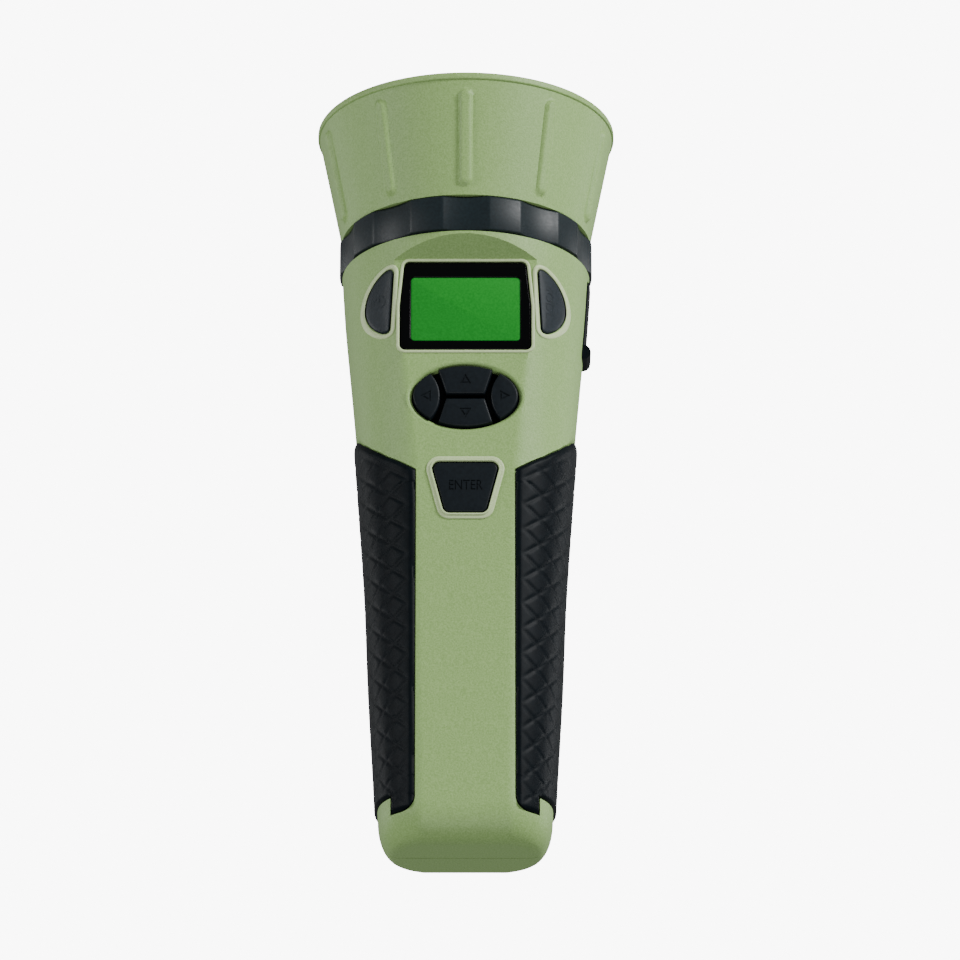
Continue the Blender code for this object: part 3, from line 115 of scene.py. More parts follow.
HORN_FOOT = COLLAR_FOOT + COLLAR_HEIGHT + GAP
HORN_FOOT_RADIUS = 0.0323
HORN_HEIGHT = 0.0318
HORN_TOP = HORN_FOOT + HORN_HEIGHT
HORN_RIM_RADIUS = 0.0389
HORN_WALL = 0.0017
HORN_LIP = 0.0020
LEDGE_TOP = HORN_FOOT + 0.0068
LEDGE_WIDTH = 0.0018
LEDGE_THICKNESS = 0.0016
RIB_HALF = 0.0017
RIB_PROUD = 0.0009
RIB_FOOT = 0.0023
RIB_LENGTH = 0.0250
HORN_COLUMNS = 480
HORN_ROWS = 56

DISPLAY_HEIGHT = 0.0235
DISPLAY_BOTTOM = 0.1287
DISPLAY_TOP_HALF = 0.0154
DISPLAY_BOTTOM_HALF = 0.0166
DISPLAY_BULGE = 0.0006
LCD_WIDTH = 0.0281
LCD_HEIGHT = 0.0173
LCD_BOTTOM = 0.1310

KEY_SLIT = 0.00035
PAD_CENTRE_Z = 0.1158
PAD_HALF_WIDTH = 0.01375
PAD_HALF_HEIGHT = 0.0085
PAD_SPLIT = 0.00065
PAD_ARC_HALF = 0.0069
PAD_FOOT_HALF = 0.0049
PAD_SIDE_TIP = 0.0089
PAD_SIDE_EDGE = 0.0065
PAD_RIM = 0.0010
ENTER_TOP_Z = 0.0979
ENTER_HEIGHT = 0.0132
ENTER_TOP_HALF = 0.00865
ENTER_BOTTOM_HALF = 0.0052
SIDE_KEY_X = 0.0186
SIDE_KEY_WIDTH = 0.0070
SIDE_KEY_BOTTOM = 0.1335
SIDE_KEY_HEIGHT = 0.0174
SIDE_KEY_SLANT = 0.0010
SIDE_KEY_TIP = 0.0016

COVER_HALF = 0.0052
COVER_BOTTOM = 0.1345
COVER_TOP = 0.1562

DOOR_HALF = 0.0104
DOOR_BOTTOM = 0.0122
DOOR_HEIGHT = 0.0600


# ---------------------------------------------------------------- modelling helpers
def clear_selection():
    """Nothing is selected, and Blender is in object mode."""
    if bpy.context.object and bpy.context.object.mode != "OBJECT":
        bpy.ops.object.mode_set(mode="OBJECT")
    bpy.ops.object.select_all(action="DESELECT")


def choose(obj):
    """Only this object is selected, and it is active."""
    clear_selection()
    obj.select_set(True)
    bpy.context.view_layer.objects.active = obj
    return obj


def edit_all(obj):
    """Enters edit mode with the whole mesh selected."""
    choose(obj)
    bpy.ops.object.mode_set(mode="EDIT")
    bpy.ops.mesh.select_all(action="SELECT")


def done_editing():
    """Turns the selection's faces outwards and leaves edit mode."""
    bpy.ops.mesh.select_all(action="SELECT")
    bpy.ops.mesh.normals_make_consistent(inside=False)
    bpy.ops.object.mode_set(mode="OBJECT")


def modified(obj, kind, **settings):
    """Adds a modifier and applies it."""
    choose(obj)
    modifier = obj.modifiers.new(kind.lower(), kind)
    for key, value in settings.items():
        setattr(modifier, key, value)
    bpy.ops.object.modifier_apply(modifier=modifier.name)
    return obj


def cut(obj, tool, operation="DIFFERENCE", keep=False):
    """Cuts the object with a tool, which is then thrown away."""
    modified(obj, "BOOLEAN", object=tool, operation=operation, solver="EXACT")
    if not keep:
        bpy.data.objects.remove(tool, do_unlink=True)
    return obj


def woven(name, columns, rows, place, caps=False):
    """A grid bent round, each vertex moved to its place, with its seams merged and its ends filled."""
    clear_selection()
    bpy.ops.mesh.primitive_grid_add(x_subdivisions=columns, y_subdivisions=rows, size=1)
    obj = bpy.context.object
    obj.name = obj.data.name = name
    for vertex in obj.data.vertices:
        column = round((vertex.co.x + 0.5) * columns)
        row = round((vertex.co.y + 0.5) * rows)
        vertex.co = place(column, row)
    edit_all(obj)
    bpy.ops.mesh.remove_doubles(threshold=MERGE)
    if caps:
        bpy.ops.mesh.fill_holes(sides=0)
    done_editing()
    return obj


def pressed(name, outline, low, high, place=None):
    """An outline drawn as a face and extruded from one height to another, in a frame."""
    clear_selection()
    bpy.ops.mesh.primitive_circle_add(vertices=len(outline), radius=1, fill_type="NGON")
    obj = bpy.context.object
    obj.name = obj.data.name = name
    for vertex, (x, y) in zip(obj.data.vertices, outline):
        vertex.co = (x, y, low)
    edit_all(obj)
    bpy.ops.mesh.extrude_region_move(TRANSFORM_OT_translate={"value": (0, 0, high - low)})
    done_editing()
    if place is not None:
        obj.data.transform(place)
    return obj


def merged(obj, others):
    """Joins other objects into one mesh."""
    choose(obj)
    for other in others:
        other.select_set(True)
    bpy.ops.object.join()
    return obj


def lettering(name, text, size, low, high, place):
    """Letters as a solid mesh between two heights of a frame."""
    clear_selection()
    bpy.ops.object.text_add()
    obj = bpy.context.object
    obj.data.body = text
    obj.data.size = size
    obj.data.align_x = "CENTER"
    obj.data.align_y = "CENTER"
    obj.data.extrude = (high - low) / 2
    obj.data.resolution_u = 3
    choose(obj)
    bpy.ops.object.convert(target="MESH")
    obj = bpy.context.object
    obj.name = obj.data.name = name
    obj.data.transform(place @ Matrix.Translation((0, 0, (low + high) / 2)))
    edit_all(obj)
    bpy.ops.mesh.remove_doubles(threshold=MERGE)
    done_editing()
    return obj


def piece(obj, name, body, finish, stands_for=(), angle=32, weighted=False):
    """Finishes a piece: name, smooth shading, material, body and the nodes that it stands for."""
    obj.name = obj.data.name = name
    choose(obj)
    bpy.ops.object.shade_smooth_by_angle(angle=math.radians(angle), keep_sharp_edges=False)
    if weighted:
        modified(obj, "WEIGHTED_NORMAL", keep_sharp=True, mode="FACE_AREA_WITH_ANGLE")
    obj.data.materials.clear()
    obj.data.materials.append(finish)
    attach(obj, body)
    if stands_for:
        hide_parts(*stands_for)
    return obj


# ---------------------------------------------------------------- outlines
def arc(start, end, bulge, count):
    """Points from start to end on an arc that stands off the chord by bulge, to its left."""
    start, end = Vector(start), Vector(end)
    chord = end - start
    side = Vector((-chord.y, chord.x)).normalized()
    half = chord.length / 2
    radius = (half * half + bulge * bulge) / (2 * abs(bulge))
    sweep = math.asin(min(1.0, half / radius))
    points = []
    for i in range(count + 1):
        turn = -sweep + 2 * sweep * i / count
        along = radius * math.sin(turn)
        off = (radius * math.cos(turn) - (radius - abs(bulge))) * (1 if bulge > 0 else -1)
        points.append(tuple(start + chord / 2 + chord.normalized() * along + side * off))
    return points


def grown(outline, distance):
    """The outline with every point moved outwards by the distance."""
    area = sum(a[0] * b[1] - b[0] * a[1] for a, b in zip(outline, outline[1:] + outline[:1]))
    sign = 1.0 if area > 0 else -1.0
    result = []
    for i, point in enumerate(outline):
        before = Vector(point) - Vector(outline[i - 1])
        after = Vector(outline[(i + 1) % len(outline)]) - Vector(point)
        n1 = Vector((before.y, -before.x)).normalized()
        n2 = Vector((after.y, -after.x)).normalized()
        middle = (n1 + n2).normalized()
        reach = distance / max(0.5, middle.dot(n1))
        result.append(tuple(Vector(point) + middle * reach * sign))
    return result


def rounded(corners, radius, steps=6):
    """A polygon, anticlockwise, with its corners rounded."""
    result = []
    for i, corner in enumerate(corners):
        here = Vector(corner)
        back = (Vector(corners[i - 1]) - here).normalized()
        ahead = (Vector(corners[(i + 1) % len(corners)]) - here).normalized()
        half_angle = back.angle(ahead) / 2
        reach = radius / math.tan(half_angle)
        centre = here + (back + ahead).normalized() * radius / math.sin(half_angle)
        first = here + back * reach - centre
        last = here + ahead * reach - centre
        sweep = first.angle_signed(last)
        for step in range(steps + 1):
            result.append(tuple(centre + Matrix.Rotation(-sweep * step / steps, 2) @ first))
    return result


def divided(outline, pitch):
    """The outline with its long sides divided."""
    result = []
    for a, b in zip(outline, outline[1:] + outline[:1]):
        a, b = Vector(a), Vector(b)
        count = max(1, round((b - a).length / pitch))
        result += [tuple(a.lerp(b, i / count)) for i in range(count)]
    return result


def flipped(outline, centre):
    """The outline turned upside down about a height."""
    return [(x, 2 * centre - y) for x, y in reversed(outline)]


def mirrored(outline):
    """The outline mirrored left to right."""
    return [(-x, y) for x, y in reversed(outline)]


def up_facet(height):
    """Distance up the front panel of a height above the floor."""
    return height / math.cos(FACET_LEAN)


def up_rear(height):
    """Distance up the rear panel of a height above the floor."""
    return height / math.cos(REAR_LEAN)


FACET = Matrix.Translation((0, -FACET_FOOT, 0)) @ Matrix.Rotation(math.pi / 2 + FACET_LEAN, 4, "X")
REAR = (
    Matrix.Translation((0, REAR_FOOT, 0))
    @ Matrix.Rotation(math.pi, 4, "Z")
    @ Matrix.Rotation(math.pi / 2 + REAR_LEAN, 4, "X")
)
UPRIGHT = Matrix.Rotation(math.pi / 2, 4, "X")


def display_outline():
    """The window, narrower at the top, with slightly bulged sides."""
    low = up_facet(DISPLAY_BOTTOM)
    high = low + DISPLAY_HEIGHT
    waist = (DISPLAY_TOP_HALF + DISPLAY_BOTTOM_HALF) / 2 + DISPLAY_BULGE
    corners = [
        (-DISPLAY_BOTTOM_HALF, low), (DISPLAY_BOTTOM_HALF, low), (waist, (low + high) / 2),
        (DISPLAY_TOP_HALF, high), (-DISPLAY_TOP_HALF, high), (-waist, (low + high) / 2),
    ]
    return rounded(corners, 0.0012)


def lcd_outline():
    """The lit area of the display."""
    low = up_facet(LCD_BOTTOM)
    half, high = LCD_WIDTH / 2, low + LCD_HEIGHT
    return rounded([(-half, low), (half, low), (half, high), (-half, high)], 0.0010)


def pad_ellipse(shrink, start, end, count):
    """Points of the pad's ellipse between two angles."""
    points = []
    for i in range(count + 1):
        angle = start + (end - start) * i / count
        x = (PAD_HALF_WIDTH - shrink) * math.cos(angle)
        points.append((x, up_facet(PAD_CENTRE_Z) + (PAD_HALF_HEIGHT - shrink) * math.sin(angle)))
    return points


def up_key_outline():
    """The upper key: an arc of the ellipse over a narrower straight foot."""
    start = math.acos(PAD_ARC_HALF / (PAD_HALF_WIDTH - KEY_SLIT))
    top = pad_ellipse(KEY_SLIT, start, math.pi - start, 14)
    foot = up_facet(PAD_CENTRE_Z) + PAD_SPLIT
    return [(-PAD_FOOT_HALF, foot), (PAD_FOOT_HALF, foot)] + top


def left_key_outline():
    """The left key: the end of the ellipse, closed by a bowed edge."""
    start = math.acos(-PAD_SIDE_TIP / (PAD_HALF_WIDTH - KEY_SLIT))
    end = pad_ellipse(KEY_SLIT, start, 2 * math.pi - start, 18)
    edge = arc(end[-1], end[0], -(PAD_SIDE_TIP - PAD_SIDE_EDGE), 12)
    return end[:-1] + edge[:-1]


def enter_outline():
    """The enter key: an upside-down trapezoid with rounded corners."""
    high = up_facet(ENTER_TOP_Z)
    low = high - ENTER_HEIGHT
    corners = [
        (-ENTER_BOTTOM_HALF, low), (ENTER_BOTTOM_HALF, low), (ENTER_TOP_HALF, high), (-ENTER_TOP_HALF, high),
    ]
    return rounded(corners, 0.0016)


def side_key_outline():
    """The left half-moon key: a straight edge towards the display and a bowed outer edge."""
    low = up_facet(SIDE_KEY_BOTTOM)
    bottom = (-SIDE_KEY_X - SIDE_KEY_SLANT, low)
    top = (-SIDE_KEY_X, low + SIDE_KEY_HEIGHT)
    outer = arc(top, bottom, -(SIDE_KEY_WIDTH - SIDE_KEY_SLANT / 2), 36)
    edge = (Vector(bottom) - Vector(top)).normalized() * SIDE_KEY_TIP
    upper = rounded_tip(Vector(top) + edge, Vector(top), Vector(outer[3]))
    lower = rounded_tip(Vector(outer[-4]), Vector(bottom), Vector(bottom) - edge)
    return divided(upper + outer[4:-4] + lower, 0.0012)


def rounded_tip(start, tip, end):
    """Points of a soft curve that replaces a sharp tip."""
    steps = [i / 7 for i in range(8)]
    return [tuple((1 - t) ** 2 * start + 2 * t * (1 - t) * tip + t * t * end) for t in steps]


def grip_zone(clearance):
    """The outline, in X and Z, that the right grip fills seen from the front."""
    centre = (GRIP_EDGE + GRIP_LOBE_RADIUS, GRIP_LOBE_Z + GRIP_LOBE_RADIUS)
    lobe = [
        (
            centre[0] - GRIP_LOBE_RADIUS * math.cos(math.pi / 2 * i / 8),
            centre[1] - GRIP_LOBE_RADIUS * math.sin(math.pi / 2 * i / 8),
        )
        for i in range(9)
    ]
    outline = lobe + [
        (GRIP_STEP_X, GRIP_LOBE_Z), (GRIP_STEP_X, GRIP_STEP_Z), (GRIP_REACH, GRIP_STEP_Z),
        (GRIP_REACH, GRIP_OUTER_TOP),
    ]
    outline += [(GRIP_EDGE + out, z) for out, z in reversed(GRIP_TOP_LINE)]
    return grown(outline, clearance) if clearance else outline


# ---------------------------------------------------------------- the body's skin
def level_value(column, height):
    """A body measure at a height, on a smooth curve through the levels."""
    levels = BODY_LEVELS
    height = min(max(height, levels[0][0]), levels[-1][0])
    i = next((k for k in range(len(levels) - 2) if height <= levels[k + 1][0]), len(levels) - 2)
    low, high = levels[i], levels[i + 1]
    before, after = levels[max(i - 1, 0)], levels[min(i + 2, len(levels) - 1)]
    span = high[0] - low[0]
    t = (height - low[0]) / span
    slope_low = (high[column] - before[column]) / (high[0] - before[0]) * span
    slope_high = (after[column] - low[column]) / (after[0] - low[0]) * span
    return (
        (2 * t**3 - 3 * t**2 + 1) * low[column]
        + (t**3 - 2 * t**2 + t) * slope_low
        + (-2 * t**3 + 3 * t**2) * high[column]
        + (t**3 - t**2) * slope_high
    )


def facet_depth(height):
    """Depth of the flat front panel, and of the brow above it."""
    depth = FACET_FOOT + min(height, FACET_TOP) * math.tan(FACET_LEAN)
    return depth + max(0.0, height - FACET_TOP) * BROW_SLOPE


def rear_depth(height):
    """Depth of the flat rear panel, which runs out into the round back."""
    depth = REAR_FOOT + height * math.tan(REAR_LEAN)
    return depth + max(0.0, height - REAR_PANEL_TOP) * REAR_RUNOUT_SLOPE


def panel_half(width, depth, power, panel):
    """Half width of a flat panel that cuts the superellipse at a depth."""
    least = 0.0015
    if panel >= depth:
        return least
    return max(least, width * (1 - (panel / depth) ** power) ** (1 / power))


def section(height, growth=0.0, panel_columns=PANEL_COLUMNS, side_columns=SIDE_COLUMNS):
    """The skin's outline at a height, anticlockwise from the front left corner of the panel."""
    inset = 0.0
    if height < BASE_ROUND_HEIGHT:
        inset = 1 - math.sqrt(max(0.0, 1 - (1 - height / BASE_ROUND_HEIGHT) ** 2))
    width = level_value(1, height) - inset * BASE_ROUND_SIDE + growth
    depth = level_value(2, height) - inset * BASE_ROUND_DEPTH + growth
    power = level_value(3, height)
    front = facet_depth(height) - inset * BASE_ROUND_DEPTH + growth
    rear = rear_depth(height) - inset * BASE_ROUND_DEPTH + growth
    front_half = panel_half(width, depth, power, front)
    rear_half = panel_half(width, depth, power, rear)

    def reach(x, panel):
        return min(panel, depth * (1 - min(1.0, abs(x) / width) ** power) ** (1 / power))

    outline = []
    for i in range(panel_columns):
        x = -front_half + 2 * front_half * i / panel_columns
        outline.append((x, -reach(x, front)))
    first = -math.acos((front_half / width) ** (power / 2))
    last = math.acos((rear_half / width) ** (power / 2))
    side = []
    for i in range(side_columns):
        angle = first + (last - first) * i / side_columns
        c, s = math.cos(angle), math.sin(angle)
        x = width * math.copysign(abs(c) ** (2 / power), c)
        side.append((x, depth * math.copysign(abs(s) ** (2 / power), s)))
    outline += side
    for i in range(panel_columns):
        x = rear_half - 2 * rear_half * i / panel_columns
        outline.append((x, reach(x, rear)))
    return outline + [(-rear_half, reach(rear_half, rear))] + [(-x, y) for x, y in reversed(side[1:])]


def front_reach(x, z):
    """Depth of the front skin at a place."""
    width, depth, power = (level_value(column, z) for column in (1, 2, 3))
    return min(facet_depth(z), depth * (1 - min(1.0, abs(x) / width) ** power) ** (1 / power))


def skin_heights(bottom, top):
    """Heights of the skin's rows: close together round the foot and up the brow."""
    rows = [BASE_ROUND_HEIGHT * (1 - math.cos(math.pi / 2 * i / BASE_ROWS)) for i in range(BASE_ROWS + 1)]
    count = round((FACET_TOP - BASE_ROUND_HEIGHT) / ROW_PITCH)
    rows += [BASE_ROUND_HEIGHT + (FACET_TOP - BASE_ROUND_HEIGHT) * i / count for i in range(1, count + 1)]
    brow = (BODY_LEVELS[-1][2] - facet_depth(FACET_TOP)) / BROW_SLOPE
    rows += [FACET_TOP + brow * math.sin(math.pi / 2 * i / BROW_ROWS) for i in range(1, BROW_ROWS + 1)]
    return [bottom] + [row for row in rows if bottom + 0.0002 < row < top - 0.0002] + [top]


def skin(name, growth, bottom, top, growth_at=None):
    """The body's skin moved in or out, as a solid between two heights."""
    heights = skin_heights(bottom, min(top, BODY_HEIGHT))
    if top > BODY_HEIGHT:
        heights.append(top)
    outlines = [section(z, growth_at(z) if growth_at else growth) for z in heights]
    columns = len(outlines[0])

    def place(column, row):
        x, y = outlines[row][column % columns]
        return x, y, heights[row]

    return woven(name, columns, len(heights) - 1, place, caps=True)


def wall_inset(height):
    """Depth of the cavity's wall below the skin."""
    blend = min(1.0, max(0.0, (height - GRIP_OUTER_TOP - WALL) / 0.005))
    return 0.0038 * (1 - blend) + WALL * blend


# ---------------------------------------------------------------- finishes
class Wire:
    """A node's socket that sums can be written with."""

    def __init__(self, finish, socket):
        self.finish = finish
        self.socket = socket

    def worked(self, operation, first, second):
        return self.finish.node("ShaderNodeMath", {"operation": operation}, {0: first, 1: second})

    def __add__(self, other):
        return self.worked("ADD", self, other)

    def __radd__(self, other):
        return self.worked("ADD", other, self)

    def __sub__(self, other):
        return self.worked("SUBTRACT", self, other)

    def __rsub__(self, other):
        return self.worked("SUBTRACT", other, self)

    def __mul__(self, other):
        return self.worked("MULTIPLY", self, other)

    def __rmul__(self, other):
        return self.worked("MULTIPLY", other, self)


class Finish:
    """One material, drawn with nodes."""

    def __init__(self, name, colour, roughness, metallic=0.0, **constants):
        self.material = bpy.data.materials.new(name)
        self.material.use_nodes = True
        self.tree = self.material.node_tree
        self.shader = self.tree.nodes["Principled BSDF"]
        self.place = self.node("ShaderNodeTexCoord", output="Object")
        self.shader.inputs["Base Color"].default_value = (*colour, 1.0)
        self.shader.inputs["Roughness"].default_value = roughness
        self.shader.inputs["Metallic"].default_value = metallic
        for key, value in constants.items():
            self.shader.inputs[key.replace("_", " ")].default_value = value

    def node(self, kind, settings=None, sockets=None, output=0):
        """Any node: its settings first, then its sockets' values or links."""
        made = self.tree.nodes.new(kind)
        for key, value in (settings or {}).items():
            if key == "stops":
                for element, (position, grey) in zip(made.color_ramp.elements, value):
                    element.position = position
                    element.color = (grey, grey, grey, 1.0)
            else:
                setattr(made, key, value)
        for key, value in (sockets or {}).items():
            if isinstance(value, Wire):
                self.tree.links.new(value.socket, made.inputs[key])
            else:
                made.inputs[key].default_value = value
        return Wire(self, made.outputs[output])

    def feed(self, socket, wire):
        """Links a varying value to the shader."""
        self.tree.links.new(wire.socket, self.shader.inputs[socket])
        return self

    def speckle(self, size, detail=2.0):
        """Fine noise with grains of a size."""
        sockets = {"Vector": self.place, "Scale": 1.0 / size, "Detail": detail, "Roughness": 0.6}
        return self.node("ShaderNodeTexNoise", None, sockets)

    def contrast(self, wire, low, high):
        """The value stretched between two levels to 0 and 1."""
        return self.node("ShaderNodeMapRange", {"clamp": True}, {0: wire, 1: low, 2: high})

    def blend(self, mask, first, second):
        """Two colours mixed by a mask."""
        colours = {0: mask, 6: (*first, 1.0), 7: (*second, 1.0)}
        return self.node("ShaderNodeMix", {"data_type": "RGBA"}, colours, 2)

    def mottled(self, size, first, second, low=0.35, high=0.65):
        """Base colour that varies between two colours over a grain size."""
        share = self.contrast(self.speckle(size), low, high)
        return self.feed("Base Color", self.blend(share, first, second))

    def worn_roughness(self, size, low, high):
        """Roughness that varies over a grain size."""
        return self.feed("Roughness", self.speckle(size) * (high - low) + low)

    def bumped(self, height, strength, distance):
        """Relief from a height value."""
        relief = {"Height": height, "Strength": strength, "Distance": distance}
        return self.feed("Normal", self.node("ShaderNodeBump", None, relief))

    def grained(self, size, strength, distance=0.00005):
        """A fine moulded grain."""
        return self.bumped(self.speckle(size, 3.0), strength, distance)


green_finish = (
    Finish("sage_plastic", (0.200, 0.322, 0.107), 0.52, Specular_IOR_Level=0.30)
    .mottled(0.00042, (0.172, 0.284, 0.087), (0.228, 0.358, 0.126))
    .worn_roughness(0.0011, 0.42, 0.60)
    .grained(0.00042, 0.75, 0.00009)
).material
# The lips' finish: the sage plastic painted lighter, a painted highlight where the raised lips catch the
# light.
lip_highlight_finish = (
    Finish("sage_plastic_painted_highlight", (0.38, 0.48, 0.25), 0.46, Specular_IOR_Level=0.35)
    .mottled(0.00042, (0.35, 0.45, 0.22), (0.42, 0.52, 0.29))
    .worn_roughness(0.0011, 0.38, 0.52)
    .grained(0.00042, 0.30, 0.00006)
).material
grip_finish = (
    Finish("soft_rubber", (0.0016, 0.0034, 0.0050), 0.50, Specular_IOR_Level=0.06)
    .mottled(0.0016, (0.0012, 0.0027, 0.0041), (0.0020, 0.0041, 0.0059))
    .worn_roughness(0.0020, 0.42, 0.54)
    .grained(0.00025, 0.22, 0.00003)
).material
collar_finish = (
    Finish("slate_plastic", (0.006, 0.012, 0.015), 0.44, Specular_IOR_Level=0.18)
    .mottled(0.0006, (0.005, 0.009, 0.011), (0.007, 0.013, 0.016))
    .worn_roughness(0.0010, 0.36, 0.50)
    .grained(0.00030, 0.30, 0.00004)
).material
key_finish = (
    Finish("key_rubber_soft", (0.0035, 0.0058, 0.0080), 0.46, Specular_IOR_Level=0.14)
    .mottled(0.0009, (0.0029, 0.0049, 0.0068), (0.0042, 0.0068, 0.0094))
    .worn_roughness(0.0012, 0.40, 0.54)
    .grained(0.00022, 0.20, 0.00003)
).material
side_key_finish = (
    Finish("side_key_rubber", (0.007, 0.012, 0.016), 0.46, Specular_IOR_Level=0.18)
    .mottled(0.0009, (0.006, 0.0105, 0.014), (0.0085, 0.014, 0.019))
    .worn_roughness(0.0012, 0.40, 0.54)
    .grained(0.00022, 0.25, 0.00003)
).material
window_finish = (
    Finish("window_black", (0.0008, 0.0010, 0.0012), 0.14, Specular_IOR_Level=0.08)
    .worn_roughness(0.004, 0.12, 0.20)
).material
lcd_finish = (
    Finish("lit_display", (0.010, 0.185, 0.018), 0.34, Specular_IOR_Level=0.12)
    .mottled(0.00045, (0.008, 0.165, 0.015), (0.013, 0.205, 0.022))
    .worn_roughness(0.002, 0.26, 0.36)
).material
trim_finish = (
    Finish("black_moulding", (0.015, 0.015, 0.016), 0.50)
    .mottled(0.0008, (0.012, 0.012, 0.013), (0.019, 0.019, 0.020))
    .worn_roughness(0.0010, 0.42, 0.58)
    .grained(0.00035, 0.35, 0.00004)
).material
steel_finish = (
    Finish("plated_steel", (0.55, 0.55, 0.56), 0.30, 1.0)
    .mottled(0.0020, (0.50, 0.50, 0.51), (0.60, 0.60, 0.61))
    .worn_roughness(0.0008, 0.22, 0.40)
    .grained(0.0003, 0.12, 0.00002)
).material
board_finish = (
    Finish("solder_mask", (0.010, 0.090, 0.040), 0.42)
    .mottled(0.0018, (0.008, 0.075, 0.032), (0.014, 0.115, 0.052), 0.47, 0.53)
    .worn_roughness(0.0015, 0.34, 0.50)
    .grained(0.0012, 0.20, 0.00003)
).material
cell_finish = (
    Finish("shrink_sleeve", (0.05, 0.05, 0.06), 0.34)
    .mottled(0.0100, (0.030, 0.030, 0.038), (0.070, 0.070, 0.082), 0.45, 0.55)
    .worn_roughness(0.0020, 0.28, 0.42)
).material
cone_finish = (
    Finish("pressed_paper", (0.06, 0.06, 0.06), 0.85)
    .mottled(0.0007, (0.045, 0.045, 0.044), (0.080, 0.078, 0.074))
    .worn_roughness(0.0007, 0.78, 0.95)
    .grained(0.0005, 0.60, 0.00008)
).material
red_wire_finish = (
    Finish("red_insulation", (0.45, 0.02, 0.02), 0.45)
    .mottled(0.0015, (0.38, 0.016, 0.016), (0.50, 0.028, 0.026))
).material
black_wire_finish = (
    Finish("black_insulation", (0.01, 0.01, 0.01), 0.45)
    .mottled(0.0015, (0.008, 0.008, 0.008), (0.016, 0.016, 0.017))
).material

FINISHES = {
    "green_plastic": green_finish,
    "grip_rubber": grip_finish,
    "collar_plastic": collar_finish,
    "key_rubber": key_finish,
    "black_gloss": window_finish,
    "lcd_green": lcd_finish,
    "board_green": board_finish,
    "black_plastic": trim_finish,
    "steel": steel_finish,
    "cell_wrap": cell_finish,
    "paper_cone": cone_finish,
    "lead_red": red_wire_finish,
    "lead_black": black_wire_finish,
}
for subpart in frame["record"]["subparts"]:
    node = frame["nodes"][subpart["node"]]
    finish = FINISHES[subpart["material_slot"]]
    for index in range(max(1, len(node.material_slots))):
        if node.material_slots:
            node.material_slots[index].material = finish
        else:
            node.data.materials.append(finish)

# ---------------------------------------------------------------- cutters for the housings
cavity = skin("cavity", 0.0, 0.003, BODY_HEIGHT + 0.01, growth_at=lambda z: -wall_inset(z))
pockets = []
for side in (-1, 1):
    zone = grip_zone(GAP)
    pocket = pressed("pocket", zone if side > 0 else mirrored(zone), -0.05, 0.05, UPRIGHT)
    cut(pocket, skin("pocket_core", -POCKET_DEPTH, -0.001, BODY_HEIGHT + 0.02))
    pockets.append(pocket)


def cover_slab(name, growth, x_from, x_to):
    """A slab across X with the port cover's outline."""
    half = COVER_HALF + growth
    low, high = COVER_BOTTOM - growth, COVER_TOP + growth
    across = Matrix(((0, 0, 1, 0), (1, 0, 0, 0), (0, 1, 0, 0), (0, 0, 0, 1)))
    outline = rounded([(-half, low), (half, low), (half, high), (-half, high)], 0.0016)
    return pressed(name, outline, x_from, x_to, across)


cover_pocket = cut(
    cover_slab("cover_pocket", GAP, 0.010, 0.05), skin("cover_core", -0.0012, 0.11, BODY_HEIGHT + 0.01)
)
panel_holes = [
    ("display_hole", grown(display_outline(), GAP), 0.0085),
    ("pad_hole", pad_ellipse(-PAD_RIM, 0.0, 2 * math.pi * 63 / 64, 63), 0.0085),
    ("enter_hole", grown(enter_outline(), KEY_SLIT), 0.0085),
    ("power_hole", grown(side_key_outline(), KEY_SLIT), 0.0165),
    ("mode_hole", grown(mirrored(side_key_outline()), KEY_SLIT), 0.0165),
]


body_shell = skin("body_shell", 0.0, 0.0, BODY_HEIGHT)
cut(body_shell, cavity)
for pocket in pockets:
    cut(body_shell, pocket)
cut(body_shell, cover_pocket)
clear_selection()
bpy.ops.mesh.primitive_cylinder_add(
    vertices=48,
    radius=JACK_RADIUS + GAP,
    depth=SOCKET_CUT_LENGTH,
    location=(SOCKET_CUT_X, 0, JACK_Z),
    rotation=(0, math.pi / 2, 0),
)
cut(body_shell, bpy.context.object)
clear_selection()
bpy.ops.mesh.primitive_cube_add(
    size=1,
    location=(SOCKET_CUT_X, 0, POWER_PORT_Z),
    scale=(SOCKET_CUT_LENGTH, 2 * (POWER_PORT_HALF_Y + GAP), 2 * (POWER_PORT_HALF_Z + GAP)),
)
cut(body_shell, bpy.context.object)


def half_housing(name, side):
    """One half of the hollow body, cut along the parting plane."""
    choose(body_shell)
    bpy.ops.object.duplicate()
    half = bpy.context.object
    half.name = name
    edit_all(half)
    bpy.ops.mesh.bisect(
        plane_co=(0, side * GAP / 2, 0),
        plane_no=(0, -side, 0),
        use_fill=True,
        clear_outer=True,
        threshold=MERGE,
    )
    done_editing()
    return half


# ---------------------------------------------------------------- front housing
front = half_housing("front_shell", -1)
for hole_name, outline, depth in panel_holes:
    cut(front, pressed(hole_name, outline, -depth, 0.006, FACET))
piece(front, "front_shell", "body", green_finish, ["front_housing"], 30, weighted=True)

# ---------------------------------------------------------------- rear housing
WELL_X = 0.016
WELL_Y = 0.029
WELL_Z = 0.1225
WELL_RADIUS = 0.0029
WELL_LENGTH = 0.03
rear = half_housing("rear_shell", 1)
door_low = up_rear(DOOR_BOTTOM)
door_high = door_low + DOOR_HEIGHT
door_gap = DOOR_HALF + GAP
door_opening = [
    (-door_gap, door_low - 0.0005), (door_gap, door_low - 0.0005),
    (door_gap, door_high + GAP), (-door_gap, door_high + GAP),
]
cut(rear, pressed("door_opening", door_opening, -0.008, 0.004, REAR))
for x in (-WELL_X, WELL_X):
    clear_selection()
    bpy.ops.mesh.primitive_cylinder_add(
        vertices=40,
        radius=WELL_RADIUS,
        depth=WELL_LENGTH,
        location=(x, WELL_Y, WELL_Z),
        rotation=(math.pi / 2, 0, 0),
    )
    cut(rear, bpy.context.object)
